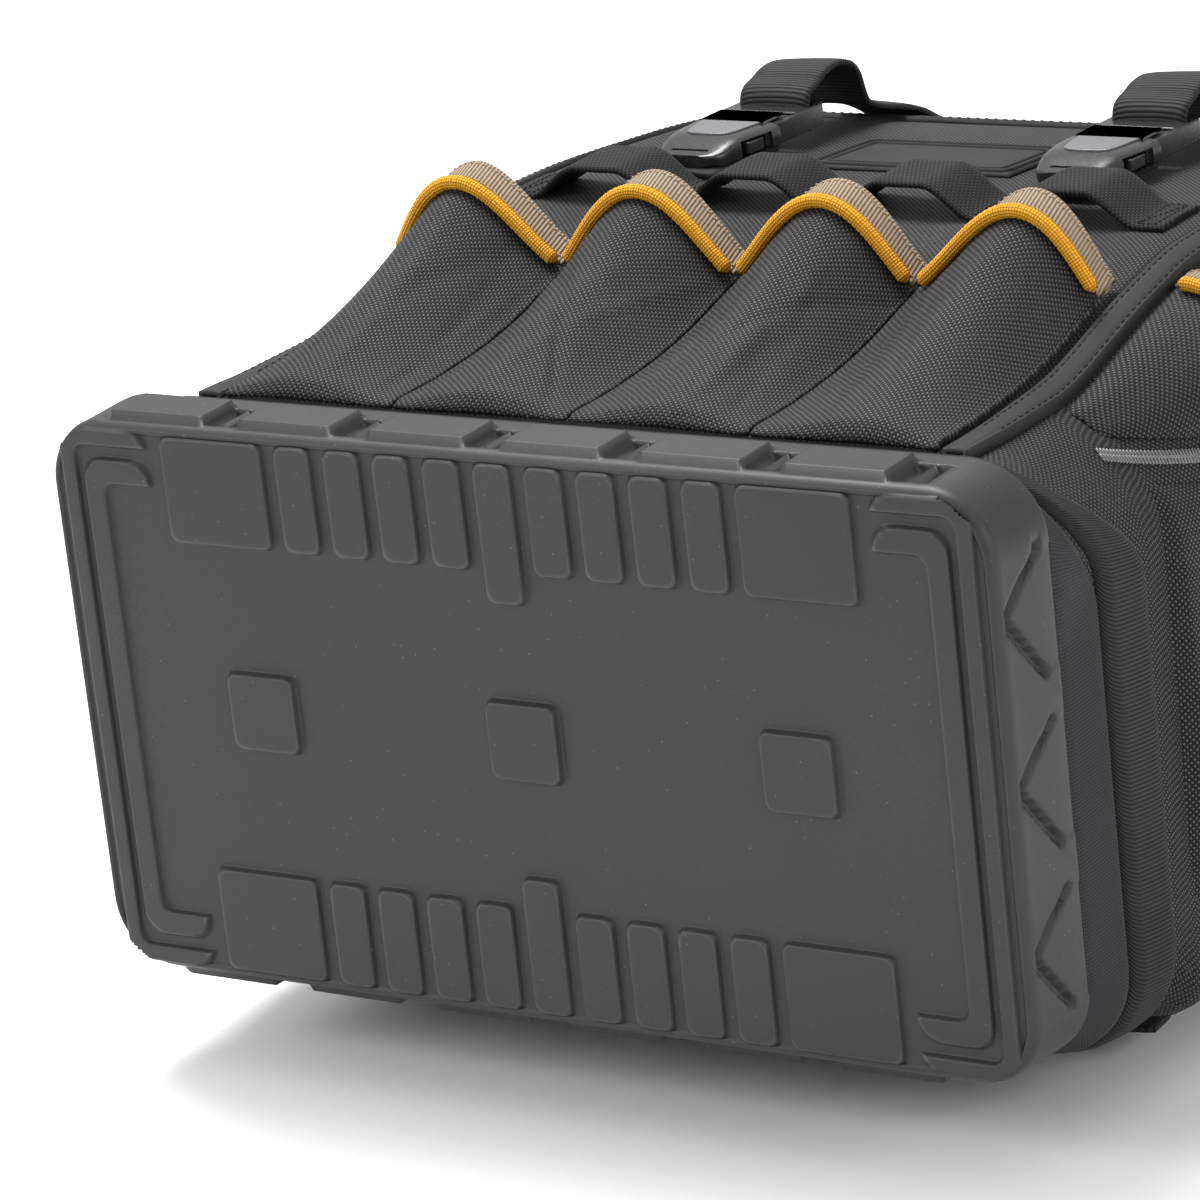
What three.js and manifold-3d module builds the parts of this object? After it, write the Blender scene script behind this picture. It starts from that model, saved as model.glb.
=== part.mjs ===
import * as THREE from 'three';
import { mergeVertices } from 'three/addons/utils/BufferGeometryUtils.js';
import Module from 'manifold-3d';

const wasm = await Module();
wasm.setup();

// Driving sizes in millimetres. X is the width, Y runs from the ground face of the base
// to the top of the pack, Z runs from the back pad to the pockets.
const PACK_WIDTH = 330;
const PACK_LENGTH = 450;
const TRAY_DEPTH = 175;
const FRONT_RISE = TRAY_DEPTH * 0.617;
const BACK_FALL = TRAY_DEPTH * 0.571;
const GAP = 0.3;
const CLOTH = 1.8;
const WALL = 3;
const WEBBING = 1.8;
const WEBBING_WIDTH = 25;

const TRAY_HEIGHT = 27;
const TRAY_FLARE = 2;
const TRAY_WALL = 3.3;
const TRAY_FLOOR = 4;
const TRAY_RADIUS = 21;
const RELIEF = 1.8;
const RIB_WIDTH = 13.2;
const RIB_PITCH = 17.7;
const RIB_COUNT = 4;
const RIB_LENGTH = 33;
const LONG_RIB_LENGTH = 42.5;
const END_BLOCK_WIDTH = 37.5;
const SQUARE_PAD = 24.4;
const FOOT_SEAM = 54.5;
const BAND_SEAM = 80;
const BAND_DROP = 43;
const NOTCH_PITCH = 47;
const NOTCH_WIDTH = 13;
const NOTCH_SHIFT = -5;
const CHEVRON_PITCH = 49.5;

const POCKET_COUNT = 4;
const POCKET_PITCH = 62.3;
const POCKET_START = 38.5;
const POCKET_RIM = 147;
const POCKET_BULGE = 24.5;
const POCKET_LEAN = 0.2;
const BINDING_WIDTH = 11;
const PIPING = 5.6;
const PANEL_THICK = 4;
const PANEL_END = 328;
const EDGE_TAPE = 9;
const LOOP_PITCH = 56;
const LOOP_START = 186;
const LOOP_WIDTH = 25;
const LOOP_BULGE = 10;
const BUCKLE_X = 69;
const BUCKLE_START = 216;
const BUCKLE_WIDTH = 33;
const BUCKLE_THICK = 9;
const PAD_THICK = 10;

// Sections of the bag: along, wide, front and back are shares of the named sizes above.
// Bend and round are the radii of its front and back corners.
const SECTIONS = [
  { along: 0.012, wide: 0.948, front: 0.787, back: 0.76, bend: 24, round: 20 },
  { along: 0.06, wide: 0.966, front: 0.787, back: 0.81, bend: 24, round: 20 },
  { along: 0.122, wide: 0.97, front: 0.79, back: 0.97, bend: 32, round: 26 },
  { along: 0.18, wide: 0.974, front: 0.808, back: 1, bend: 40, round: 28 },
  { along: 0.222, wide: 0.972, front: 0.835, back: 1, bend: 45, round: 28 },
  { along: 0.327, wide: 0.976, front: 0.945, back: 1, bend: 45, round: 28 },
  { along: 0.405, wide: 0.98, front: 0.995, back: 1, bend: 45, round: 28 },
  { along: 0.49, wide: 0.98, front: 1, back: 1, bend: 45, round: 28 },
  { along: 0.622, wide: 0.974, front: 0.972, back: 1, bend: 45, round: 28 },
  { along: 0.729, wide: 0.955, front: 0.926, back: 1, bend: 44, round: 28 },
  { along: 0.79, wide: 0.93, front: 0.85, back: 0.995, bend: 42, round: 28 },
  { along: 0.86, wide: 0.87, front: 0.7, back: 0.98, bend: 40, round: 30 },
  { along: 0.92, wide: 0.775, front: 0.52, back: 0.94, bend: 38, round: 34 },
  { along: 0.965, wide: 0.64, front: 0.3, back: 0.86, bend: 36, round: 36 },
  { along: 0.991, wide: 0.47, front: 0.1, back: 0.72, bend: 32, round: 32 },
  { along: 1, wide: 0.33, front: -0.08, back: 0.55, bend: 18, round: 18 },
];

const COLOURS = {
  rubber: [0x4c4c4e, 0.62],
  cloth: [0x232325, 0.85],
  smooth: [0x2b2b2e, 0.75],
  tan: [0xb29d80, 0.85],
  gold: [0xe3a01a, 0.8],
  plastic: [0x1d1d1f, 0.3],
};

const part = new THREE.Group();
part.name = 'tool_backpack';

const lerp = (a, b, t) => a + (b - a) * t;
const smooth = (t) => {
  const c = Math.min(Math.max(t, 0), 1);
  return c * c * (3 - 2 * c);
};
const knots = SECTIONS.map((row) => row.along * PACK_LENGTH);

function section(y) {
  let i = 0;
  while (i < SECTIONS.length - 2 && knots[i + 1] < y) i += 1;
  const t = (y - knots[i]) / (knots[i + 1] - knots[i]);
  const pick = (key) => lerp(SECTIONS[i][key], SECTIONS[i + 1][key], t);
  return {
    half: (pick('wide') * PACK_WIDTH) / 2,
    top: pick('front') * FRONT_RISE,
    low: -pick('back') * BACK_FALL,
    bend: pick('bend'),
    round: pick('round'),
  };
}

const panelTop = (y) => section(y).top;
const bagFront = (y) => section(y).top - PANEL_THICK - GAP;

function stations(from, to, extra = []) {
  const inside = [...knots, ...extra].filter((y) => y > from + 1 && y < to - 1);
  const list = [from, ...inside.sort((a, b) => a - b), to];
  return list.filter((y, i) => i === 0 || y - list[i - 1] > 0.5);
}

// A rounded rectangle in the X-Z plane, walked once round, with room to grow it by grow.
function ringPoints(y, half, top, low, bend, round, grow, arcs = 4) {
  const most = Math.min(half - 1, (top - low) / 2 - 1);
  const [f, b] = [Math.min(bend, most), Math.min(round, most)];
  const corners = [
    [half - f, top - f, f],
    [f - half, top - f, f],
    [b - half, low + b, b],
    [half - b, low + b, b],
  ];
  const ring = [];
  corners.forEach(([cx, cz, r], quarter) => {
    for (let k = 0; k <= arcs; k += 1) {
      const a = ((quarter + k / arcs) * Math.PI) / 2;
      ring.push(new THREE.Vector3(cx + Math.cos(a) * (r + grow), y, cz + Math.sin(a) * (r + grow)));
    }
  });
  return ring;
}

function bagRing(y, grow) {
  const s = section(y);
  return ringPoints(y, s.half, bagFront(y), s.low, s.bend, s.round, grow);
}

function volumeOf(geometry) {
  const p = geometry.attributes.position;
  const index = geometry.index.array;
  let six = 0;
  const [a, b, c] = [new THREE.Vector3(), new THREE.Vector3(), new THREE.Vector3()];
  for (let i = 0; i < index.length; i += 3) {
    a.fromBufferAttribute(p, index[i]);
    b.fromBufferAttribute(p, index[i + 1]);
    c.fromBufferAttribute(p, index[i + 2]);
    six += a.dot(b.cross(c));
  }
  return six;
}

function faceted(points, faces) {
  const geometry = new THREE.BufferGeometry();
  geometry.setAttribute('position', new THREE.Float32BufferAttribute(points.flatMap((v) => [v.x, v.y, v.z]), 3));
  geometry.setIndex(faces.flat());
  if (volumeOf(geometry) < 0) geometry.setIndex(faces.flatMap(([a, b, c]) => [a, c, b]));
  return geometry;
}

// Rings of equal count joined one to the next. A closed loft joins the last to the first,
// an open one gets a flat cap at each end. The rings of a sheet run out on one side and back
// on the other, so that its caps are strips across.
function loft(rings, closed = false, sheet = false) {
  const n = rings[0].length;
  const points = rings.flat();
  const faces = [];
  const last = closed ? rings.length : rings.length - 1;
  for (let k = 0; k < last; k += 1) {
    const here = k * n;
    const next = ((k + 1) % rings.length) * n;
    for (let i = 0; i < n; i += 1) {
      const j = (i + 1) % n;
      faces.push([here + i, here + j, next + j], [here + i, next + j, next + i]);
    }
  }
  if (!closed) {
    const across = (ring) => {
      const normal = new THREE.Vector3();
      ring.forEach((v, i) => normal.add(v.clone().cross(ring[(i + 1) % n])));
      const [x, y, z] = normal.toArray().map(Math.abs);
      const flat = y >= Math.max(x, z) ? 'xz' : x >= z ? 'yz' : 'xy';
      return ring.map((v) => new THREE.Vector2(v[flat[0]], v[flat[1]]));
    };
    const strip = Array.from({ length: n / 2 - 1 }, (_, i) => [[i, i + 1, n - 2 - i], [i, n - 2 - i, n - 1 - i]]).flat();
    [0, rings.length - 1].forEach((k) => {
      const flat = across(rings[k]);
      const wind = sheet ? false : THREE.ShapeUtils.isClockWise(flat);
      (sheet ? strip : THREE.ShapeUtils.triangulateShape(flat, [])).forEach(([a, b, c]) => {
        const face = [k * n + a, k * n + b, k * n + c];
        faces.push((k === 0) === wind ? face : face.reverse());
      });
    });
  }
  return faceted(points, faces);
}

function solid(geometry) {
  const bare = geometry.clone();
  bare.deleteAttribute('normal');
  bare.deleteAttribute('uv');
  const merged = mergeVertices(bare, 1e-4);
  const mesh = new wasm.Mesh({
    numProp: 3,
    vertProperties: new Float32Array(merged.attributes.position.array),
    triVerts: new Uint32Array(merged.index.array),
  });
  return new wasm.Manifold(mesh);
}

function unsolid(body) {
  const mesh = body.getMesh();
  const geometry = new THREE.BufferGeometry();
  geometry.setAttribute('position', new THREE.Float32BufferAttribute(Array.from(mesh.vertProperties), 3));
  geometry.setIndex(Array.from(mesh.triVerts));
  return geometry;
}

function add(name, geometry, look, mirrored = false) {
  const placed = geometry.clone();
  if (mirrored) {
    placed.scale(-1, 1, 1);
    const faces = Array.from(placed.index.array);
    for (let i = 0; i < faces.length; i += 3) [faces[i], faces[i + 1]] = [faces[i + 1], faces[i]];
    placed.setIndex(faces);
  }
  const [color, roughness] = COLOURS[look];
  const mesh = new THREE.Mesh(placed, new THREE.MeshStandardMaterial({ color, roughness, metalness: 0 }));
  mesh.name = name;
  part.add(mesh);
}

function addPair(name, geometry, look) {
  add(`${name}_right`, geometry, look);
  add(`${name}_left`, geometry, look, true);
}

function roundedOutline(x0, x1, y0, y1, r, arcs = 3) {
  const shape = [];
  [[x1 - r, y1 - r, 0], [x0 + r, y1 - r, 1], [x0 + r, y0 + r, 2], [x1 - r, y0 + r, 3]].forEach(([cx, cy, q]) => {
    for (let k = 0; k <= arcs; k += 1) {
      const a = ((q + k / arcs) * Math.PI) / 2;
      shape.push(new THREE.Vector2(cx + Math.cos(a) * r, cy + Math.sin(a) * r));
    }
  });
  return shape;
}

// Base tray: one moulded rubber cup with its tread raised on the ground face.
function trayRing(y, grow) {
  const flare = TRAY_FLARE * smooth(y / TRAY_HEIGHT);
  const half = PACK_WIDTH / 2 - TRAY_FLARE + flare;
  const deep = TRAY_DEPTH / 2 + flare * 0.4;
  return ringPoints(y, half, deep, -deep, TRAY_RADIUS, TRAY_RADIUS, grow, 5);
}

const groundX = PACK_WIDTH / 2 - TRAY_FLARE;
const groundZ = TRAY_DEPTH / 2;
const trayEdge = 1.6;
const trayRings = [
  trayRing(0, -trayEdge),
  trayRing(trayEdge, 0),
  trayRing(TRAY_HEIGHT / 2, 0),
  trayRing(TRAY_HEIGHT, 0),
  trayRing(TRAY_HEIGHT, -TRAY_WALL),
  trayRing(TRAY_HEIGHT / 2, -TRAY_WALL),
  trayRing(TRAY_FLOOR, -TRAY_WALL - trayEdge),
];

function raised(outline, holes = []) {
  const shape = new THREE.Shape(outline);
  holes.forEach((hole) => shape.holes.push(new THREE.Path(hole)));
  const block = new THREE.ExtrudeGeometry(shape, { depth: RELIEF + TRAY_FLOOR / 2, bevelEnabled: false });
  block.rotateX(-Math.PI / 2);
  block.scale(1, 1, -1);
  block.translate(0, -RELIEF, 0);
  const faces = Array.from({ length: block.attributes.position.count }, (_, i) => i);
  for (let i = 0; i < faces.length; i += 3) [faces[i], faces[i + 1]] = [faces[i + 1], faces[i]];
  block.setIndex(faces);
  return solid(block);
}

const treadOuter = groundZ - 3;
const padCorner = 3;
const treadPads = [];
const treadHalf = (2 * RIB_COUNT + 1) * RIB_PITCH / 2 - (RIB_PITCH - RIB_WIDTH) / 2;
for (let i = -RIB_COUNT; i <= RIB_COUNT; i += 1) {
  const reach = i === 0 ? LONG_RIB_LENGTH : RIB_LENGTH;
  const middle = i * RIB_PITCH;
  treadPads.push([middle - RIB_WIDTH / 2, middle + RIB_WIDTH / 2, treadOuter - reach, treadOuter]);
}
const blockStart = treadHalf + RIB_PITCH - RIB_WIDTH;
treadPads.push([blockStart, blockStart + END_BLOCK_WIDTH, treadOuter - RIB_LENGTH, treadOuter]);
treadPads.push([-blockStart - END_BLOCK_WIDTH, -blockStart, treadOuter - RIB_LENGTH, treadOuter]);
const squareStep = groundX * 0.574;
const squares = [-squareStep, 0, squareStep].map((x) => [
  x - SQUARE_PAD / 2,
  x + SQUARE_PAD / 2,
  -SQUARE_PAD / 2,
  SQUARE_PAD / 2,
]);

function bracket(outX, outZ, barX, barZ, tip, side) {
  const r = padCorner;
  const outer = roundedOutline(tip, outX, -outZ, outZ, r + 4, 3);
  const inner = roundedOutline(tip - outX, outX - barX, barZ - outZ, outZ - barZ, r, 2);
  const frame = raised(outer).subtract(raised(inner));
  return side > 0 ? frame : frame.mirror([1, 0, 0]);
}

let tray = solid(loft(trayRings));
treadPads.forEach(([x0, x1, z0, z1]) => {
  tray = tray.add(raised(roundedOutline(x0, x1, z0, z1, padCorner)));
  tray = tray.add(raised(roundedOutline(x0, x1, -z1, -z0, padCorner)));
});
squares.forEach(([x0, x1, z0, z1]) => {
  tray = tray.add(raised(roundedOutline(x0, x1, z0, z1, padCorner)));
});
const bracketTip = groundX - 38;
[1, -1].forEach((side) => {
  tray = tray.add(bracket(groundX - 13.5, groundZ - 11.4, 7.5, 8, bracketTip, side));
  tray = tray.add(bracket(groundX - 5.5, groundZ - 2, 5.5, 5.7, bracketTip, side));
});
const lugSpan = [TRAY_HEIGHT * 0.1, TRAY_HEIGHT * 0.72];
const lugProud = 2.6;
const notchCount = 3;
[1, -1].forEach((side) => {
  for (let i = -notchCount - 1; i <= notchCount; i += 1) {
    const from = NOTCH_SHIFT + i * NOTCH_PITCH + NOTCH_WIDTH / 2;
    const to = NOTCH_SHIFT + (i + 1) * NOTCH_PITCH - NOTCH_WIDTH / 2;
    const reach = groundX - TRAY_RADIUS * 0.6;
    const [x0, x1] = [Math.max(from, -reach), Math.min(to, reach)];
    if (x1 - x0 > NOTCH_WIDTH / 2) {
      const shape = new THREE.Shape(roundedOutline(x0, x1, ...lugSpan, 3, 2));
      const lug = new THREE.ExtrudeGeometry(shape, { depth: TRAY_WALL / 2 + lugProud, bevelEnabled: false });
      lug.translate(0, 0, groundZ - TRAY_WALL / 2);
      let body = solid(lug);
      if (side < 0) body = body.mirror([0, 0, 1]);
      tray = tray.add(body);
    }
  }
});

const chevronDeep = 1.4;
const chevronArm = 1.7;
function chevron(z, side) {
  const points = [
    [TRAY_HEIGHT * 0.72, z + 15],
    [1.6, z],
    [TRAY_HEIGHT * 0.68, z - 20],
  ];
  const arms = [0, 1].map((k) => {
    const [a, b] = [points[k], points[k + 1]];
    const run = new THREE.Vector2(b[0] - a[0], b[1] - a[1]).normalize().multiplyScalar(chevronArm);
    const shape = new THREE.Shape([
      new THREE.Vector2(a[0] - run.y, a[1] + run.x),
      new THREE.Vector2(a[0] + run.y, a[1] - run.x),
      new THREE.Vector2(b[0] + run.y, b[1] - run.x),
      new THREE.Vector2(b[0] - run.y, b[1] + run.x),
    ]);
    const block = new THREE.ExtrudeGeometry(shape, { depth: TRAY_FLARE * 2, bevelEnabled: false });
    const lean = (2 * TRAY_FLARE) / TRAY_HEIGHT / 2;
    const place = new THREE.Matrix4().set(
      lean, 0, 1, groundX - chevronDeep,
      1, 0, 0, 0,
      0, 1, 0, 0,
      0, 0, 0, 1,
    );
    block.applyMatrix4(place);
    return solid(block);
  });
  const both = arms[0].add(arms[1]);
  return side > 0 ? both : both.mirror([1, 0, 0]);
}
[1, -1].forEach((side) => {
  [1, 0, -1].forEach((step) => {
    tray = tray.subtract(chevron(step * CHEVRON_PITCH + 1, side));
  });
});
add('base_tray', unsolid(tray), 'rubber');

// Bag: one closed cloth shell, hollow, open where it stands in the tray.
const bagStart = TRAY_FLOOR + GAP;
const bagYs = stations(bagStart, PACK_LENGTH);
const outerRings = bagYs.map((y) => bagRing(y, 0));
const innerRings = bagYs.slice(0, -1).map((y) => bagRing(y, -WALL));
const lid = bagRing(knots[knots.length - 2], -WALL * 1.6);
lid.forEach((v) => v.setY(PACK_LENGTH - WALL));
add('bag_shell', loft([lid, ...innerRings.reverse(), ...outerRings]), 'cloth');

// Two bands round the foot of the bag. Their seams drop towards the front face.
function band(from, to, thick) {
  const seam = (y, i) => {
    const at = bagRing(y, 0)[i];
    const front = smooth((at.z - FRONT_RISE * 0.42) / (FRONT_RISE * 0.33));
    const share = (y - TRAY_HEIGHT) / (BAND_SEAM - TRAY_HEIGHT);
    return y - BAND_DROP * front * share;
  };
  const count = bagRing(from, 0).length;
  const ring = (y, grow) => Array.from({ length: count }, (_, i) => bagRing(seam(y, i), grow)[i]);
  return loft([ring(from, GAP), ring(to, GAP), ring(to, GAP + thick), ring(from, GAP + thick)], true);
}
add('foot_band', band(TRAY_HEIGHT + GAP, FOOT_SEAM, 2.4), 'smooth');
add('ribbed_band', band(FOOT_SEAM + 3 * GAP, BAND_SEAM, 3), 'cloth');

// Front panel: a padded sheet on the bag with a bound edge on three sides.
function overPanel(ys, outline) {
  return loft(ys.map((y) => outline(y).map(([x, h]) => new THREE.Vector3(x, y, panelTop(y) + h))));
}
const block = (x0, x1, h0, h1) => () => [[x0, h0], [x1, h0], [x1, h1], [x0, h1]];
const pocketsHalf = (POCKET_COUNT * POCKET_PITCH) / 2;
const panelHalf = pocketsHalf + 0.6;
const tapeOut = panelHalf + GAP + EDGE_TAPE;
add('front_panel', overPanel(stations(POCKET_START, PANEL_END), block(-panelHalf, panelHalf, -PANEL_THICK, 0)), 'cloth');

// Folded tape laid on the bag: it follows the round of the bag's front corners.
function crown(x, y) {
  const s = section(y);
  const past = Math.abs(x) - (s.half - s.bend) + GAP;
  return past <= 0 ? 0 : Math.sqrt(s.bend ** 2 - past ** 2) - s.bend;
}
function tapeOn(xs, thick) {
  return (y) => {
    const under = xs.map((x) => [x, crown(x, y) - PANEL_THICK]);
    return [...under, ...under.map(([x, h], i) => [x, h + thick[i]]).reverse()];
  };
}
const tapeXs = [0, 0.5, 1].map((t) => lerp(panelHalf + GAP, tapeOut, t));
const sideThick = [4.2, 4.6, 5];
addPair('edge_tape', overPanel(stations(POCKET_START, PANEL_END), tapeOn(tapeXs, sideThick)), 'smooth');
const topTapeYs = [PANEL_END + GAP, PANEL_END + GAP + EDGE_TAPE];
const topEdge = section(PANEL_END + GAP + EDGE_TAPE);
const flatHalf = Math.min(topEdge.half - topEdge.bend - GAP, panelHalf - GAP);
const topXs = [...tapeXs.map((x) => -x).reverse(), -flatHalf, flatHalf, ...tapeXs];
const topThick = [5, 4.8, 4.8, 4.8, 4.8, 4.8, 4.8, 5];
add('edge_tape_top', overPanel(topTapeYs, tapeOn(topXs, topThick)), 'smooth');

// Lines of points in the X-Z plane, moved sideways along their own normals.
function moved(line, away) {
  return line.map((p, i) => {
    const before = line[Math.max(i - 1, 0)];
    const after = line[Math.min(i + 1, line.length - 1)];
    const run = new THREE.Vector2(after[0] - before[0], after[1] - before[1]).normalize();
    return [p[0] - run.y * away, p[1] + run.x * away];
  });
}
const atY = (line, y) => line.map(([x, z]) => new THREE.Vector3(x, y, z));

// A cloth sheet with walls between two offsets of one line. Its sole is closed at the start.
function pocketSheet(line, ys, near, far, sole) {
  const rings = ys.map((y, i) => {
    const shut = sole && i === 0 ? 0 : 1;
    return atY([...moved(line(y, 1), far), ...moved(line(y, shut), near).reverse()], y);
  });
  return loft(rings, false, true);
}

function cord(line, y, radius, endRun, sides = 8) {
  const rings = line.map((p, i) => {
    const before = line[Math.max(i - 1, 0)];
    const after = line[Math.min(i + 1, line.length - 1)];
    const turn = new THREE.Vector2(after[0] - before[0], after[1] - before[1]).normalize();
    const run = endRun && (before === p || after === p) ? endRun : turn;
    return Array.from({ length: sides }, (_, k) => {
      const a = ((k + 0.5) * 2 * Math.PI) / sides;
      const out = Math.cos(a) * radius;
      return new THREE.Vector3(p[0] - run.y * out, y + Math.sin(a) * radius, p[1] + run.x * out);
    });
  });
  return loft(rings);
}

const TRIM = 0.8;
// Leaves out the points of a line that crowd its two ends.
function within(line, x0, x1) {
  const room = PIPING * 0.6;
  return [line[0], ...line.filter(([x]) => x > x0 + room && x < x1 - room), line[line.length - 1]];
}

function trims(name, line, rim, mirrored, clip, endRun) {
  const clothEnd = rim - BINDING_WIDTH;
  const tape = pocketSheet(line, [clothEnd + GAP, rim], GAP, GAP + CLOTH + TRIM, false);
  const pipeY = clothEnd - PIPING / 2 - GAP;
  const route = moved(line(pipeY, 1), CLOTH + 2 * GAP + PIPING / 2);
  const pipe = cord(clip(route), pipeY, PIPING / 2, endRun);
  add(`${name}_binding`, tape, 'tan', mirrored);
  add(`${name}_piping`, pipe, 'gold', mirrored);
}

// Four pleated tool pockets. Each is an arch that grows from a closed sole to an open rim.
const pocketHalf = POCKET_PITCH / 2 - GAP / 2;
const ARCH_STEPS = 13;
const POCKET_SEAM = 2;
function pocketLine(middle, lean) {
  return (y, open) => {
    const grown = Math.max((y - POCKET_START) / (POCKET_RIM - POCKET_START), 0) ** 0.85;
    const arch = Array.from({ length: ARCH_STEPS + 1 }, (_, k) => {
      const u = (2 * k) / ARCH_STEPS - 1;
      const from = (u - lean) / (1 - lean * u);
      const share = (0.5 + 0.5 * Math.cos(Math.PI * from)) ** 0.62;
      const rise = open * share * (POCKET_BULGE * grown + CLOTH * 1.2);
      return [middle + u * (pocketHalf - POCKET_SEAM), panelTop(y) + rise];
    });
    const foot = (side) => [middle + side * pocketHalf, panelTop(y)];
    return [foot(-1), ...arch, foot(1)];
  };
}
const pocketEnd = POCKET_RIM - BINDING_WIDTH;
const soleYs = [POCKET_START + 3];
for (let k = 0; k < POCKET_COUNT; k += 1) {
  const middle = (k - (POCKET_COUNT - 1) / 2) * POCKET_PITCH;
  const line = pocketLine(middle, POCKET_LEAN * Math.sign(middle) * (Math.abs(middle) > POCKET_PITCH ? 1 : 0.25));
  const ys = stations(POCKET_START, pocketEnd, soleYs);
  add(`pocket_${k + 1}`, pocketSheet(line, ys, GAP, GAP + CLOTH, true), 'cloth');
  const clip = (route) => within(route, middle - pocketHalf, middle + pocketHalf);
  trims(`pocket_${k + 1}`, line, POCKET_RIM, false, clip, new THREE.Vector2(1, 0));
}

// Elastic tool loops: one band sewn flat to the panel between its raised loops.
const loopHigh = [[-25, 0], [-17, 0.86], [-9, 1], [9, 1], [17, 0.86], [25, 0]];
function loopBand() {
  const low = [[-panelHalf + 2, 0]];
  for (let k = 0; k < POCKET_COUNT; k += 1) {
    const middle = (k - (POCKET_COUNT - 1) / 2) * LOOP_PITCH;
    loopHigh.forEach(([x, h]) => low.push([middle + x, h * LOOP_BULGE]));
  }
  low.push([panelHalf - 2, 0]);
  return [...moved(low, GAP), ...moved(low, GAP + 1.6).reverse()];
}
const loopOutline = loopBand();
add('tool_loops', overPanel(stations(LOOP_START, LOOP_START + LOOP_WIDTH, []), () => loopOutline), 'smooth');

// Bare badge patch with a raised double outline.
const BADGE_HALF = 38;
const BADGE = [236, 278];
add('badge_patch', overPanel(stations(...BADGE), block(-BADGE_HALF, BADGE_HALF, GAP, GAP + 1.6)), 'smooth');
function frameOn(inset, width, high) {
  const base = GAP * 2 + 1.6;
  const ring = (more, h) => {
    const [x, y0, y1] = [BADGE_HALF - more, BADGE[0] + more, BADGE[1] - more];
    return [[x, y0], [x, y1], [-x, y1], [-x, y0]].map(([px, py]) => new THREE.Vector3(px, py, panelTop(py) + h));
  };
  const outer = [ring(inset, base), ring(inset, base + high)];
  return loft([...outer, ring(inset + width, base + high), ring(inset + width, base)], true);
}
add('badge_outline_outer', frameOn(1.5, 1.6, 1.2), 'smooth');
add('badge_outline_inner', frameOn(5, 1.2, 1), 'smooth');

// Flat webbing along a path in the Y-Z plane, as wide as given across X.
function webbingYZ(path, middle, wide, thick) {
  const sides = [...moved(path, thick / 2), ...moved(path, -thick / 2).reverse()];
  return loft([-wide / 2, wide / 2].map((x) => sides.map(([y, z]) => new THREE.Vector3(middle + x, y, z))));
}

// Side-release buckles, shown fastened, each on a short tab of webbing.
const socketEnd = BUCKLE_START + 32;
const plugEnd = BUCKLE_START + 63;
const underBuckle = Math.max(...stations(BUCKLE_START - 4, plugEnd).map(panelTop));
const buckleLow = underBuckle + WEBBING + GAP * 2.5;
const buckleHigh = buckleLow + BUCKLE_THICK;
function plate(outline, low, high, holes = []) {
  const shape = new THREE.Shape(outline);
  holes.forEach((hole) => shape.holes.push(new THREE.Path(hole)));
  const slab = new THREE.ExtrudeGeometry(shape, { depth: high - low, bevelEnabled: false });
  slab.translate(BUCKLE_X, 0, low);
  return solid(slab);
}
const wide = BUCKLE_WIDTH / 2;
const socketShape = roundedOutline(-wide, wide, BUCKLE_START, socketEnd, 7, 3);
const cavity = roundedOutline(-wide + 3, wide - 3, BUCKLE_START + 10, socketEnd + 10, 2, 2);
const window = roundedOutline(-wide - 6, -wide + 6, BUCKLE_START + 12, socketEnd - 7, 2, 2);
const midLow = buckleLow + 2.2;
const midHigh = buckleHigh - 2.2;
const socket = plate(socketShape, buckleLow, buckleHigh)
  .subtract(plate(cavity, midLow, midHigh))
  .subtract(plate(window, midLow, midHigh))
  .subtract(plate(window.map((p) => new THREE.Vector2(-p.x, p.y)), midLow, midHigh));
addPair('buckle_socket', unsolid(socket), 'plastic');
const SLOT = 3.6;
const slot = (y) => roundedOutline(-WEBBING_WIDTH / 2 - 0.8, WEBBING_WIDTH / 2 + 0.8, y, y + SLOT, 1.2, 2);
const plugShape = roundedOutline(-wide + 2, wide - 2, socketEnd + GAP, plugEnd, 3, 2);
const slotYs = [plugEnd - 19, plugEnd - 8];
const prong = (side) => {
  const [inner, outer] = [wide - 9, wide - 4.2];
  const [x0, x1] = side > 0 ? [inner, outer] : [-outer, -inner];
  return roundedOutline(x0, x1, BUCKLE_START + 13, socketEnd + 4, 1.6, 2);
};
const plug = plate(plugShape, buckleLow + 1, buckleHigh - 1, slotYs.map(slot))
  .add(plate(prong(1), midLow + GAP, midHigh - GAP))
  .add(plate(prong(-1), midLow + GAP, midHigh - GAP));
addPair('buckle_plug', unsolid(plug), 'plastic');
const tabYs = stations(BUCKLE_START - 4, socketEnd + 8);
const tabLine = tabYs.map((y) => [y, panelTop(y) + GAP + WEBBING / 2]);
addPair('buckle_tab', webbingYZ(tabLine, BUCKLE_X, WEBBING_WIDTH, WEBBING), 'cloth');

// Buckle straps: up through the plug, round in a slack loop and over the top of the bag.
const rest = buckleHigh + WEBBING;
const overTop = knots.filter((y) => y > PANEL_END + EDGE_TAPE && y < PACK_LENGTH * 0.97);
const strapPath = [
  [slotYs[1] + SLOT / 2, buckleLow - 0.4],
  [slotYs[1] + SLOT / 2, rest - 1.6],
  [slotYs[1] + SLOT / 2 + 3, rest + 0.4],
  [plugEnd + 1, rest + 1.6],
  [plugEnd + 5, rest + 3.6],
  [plugEnd + 13, rest + 4.8],
  [plugEnd + 21, rest + 3],
  [plugEnd + 25, rest - 1],
  [plugEnd + 26.5, rest - 8],
  [plugEnd + 30, rest - 14],
  [PANEL_END + EDGE_TAPE, panelTop(PANEL_END + EDGE_TAPE) + 2 * TRIM + WEBBING],
  ...overTop.map((y) => [y, bagFront(y) + GAP * 2 + WEBBING]),
];
addPair('buckle_strap', webbingYZ(strapPath, BUCKLE_X, WEBBING_WIDTH, WEBBING), 'cloth');

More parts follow.
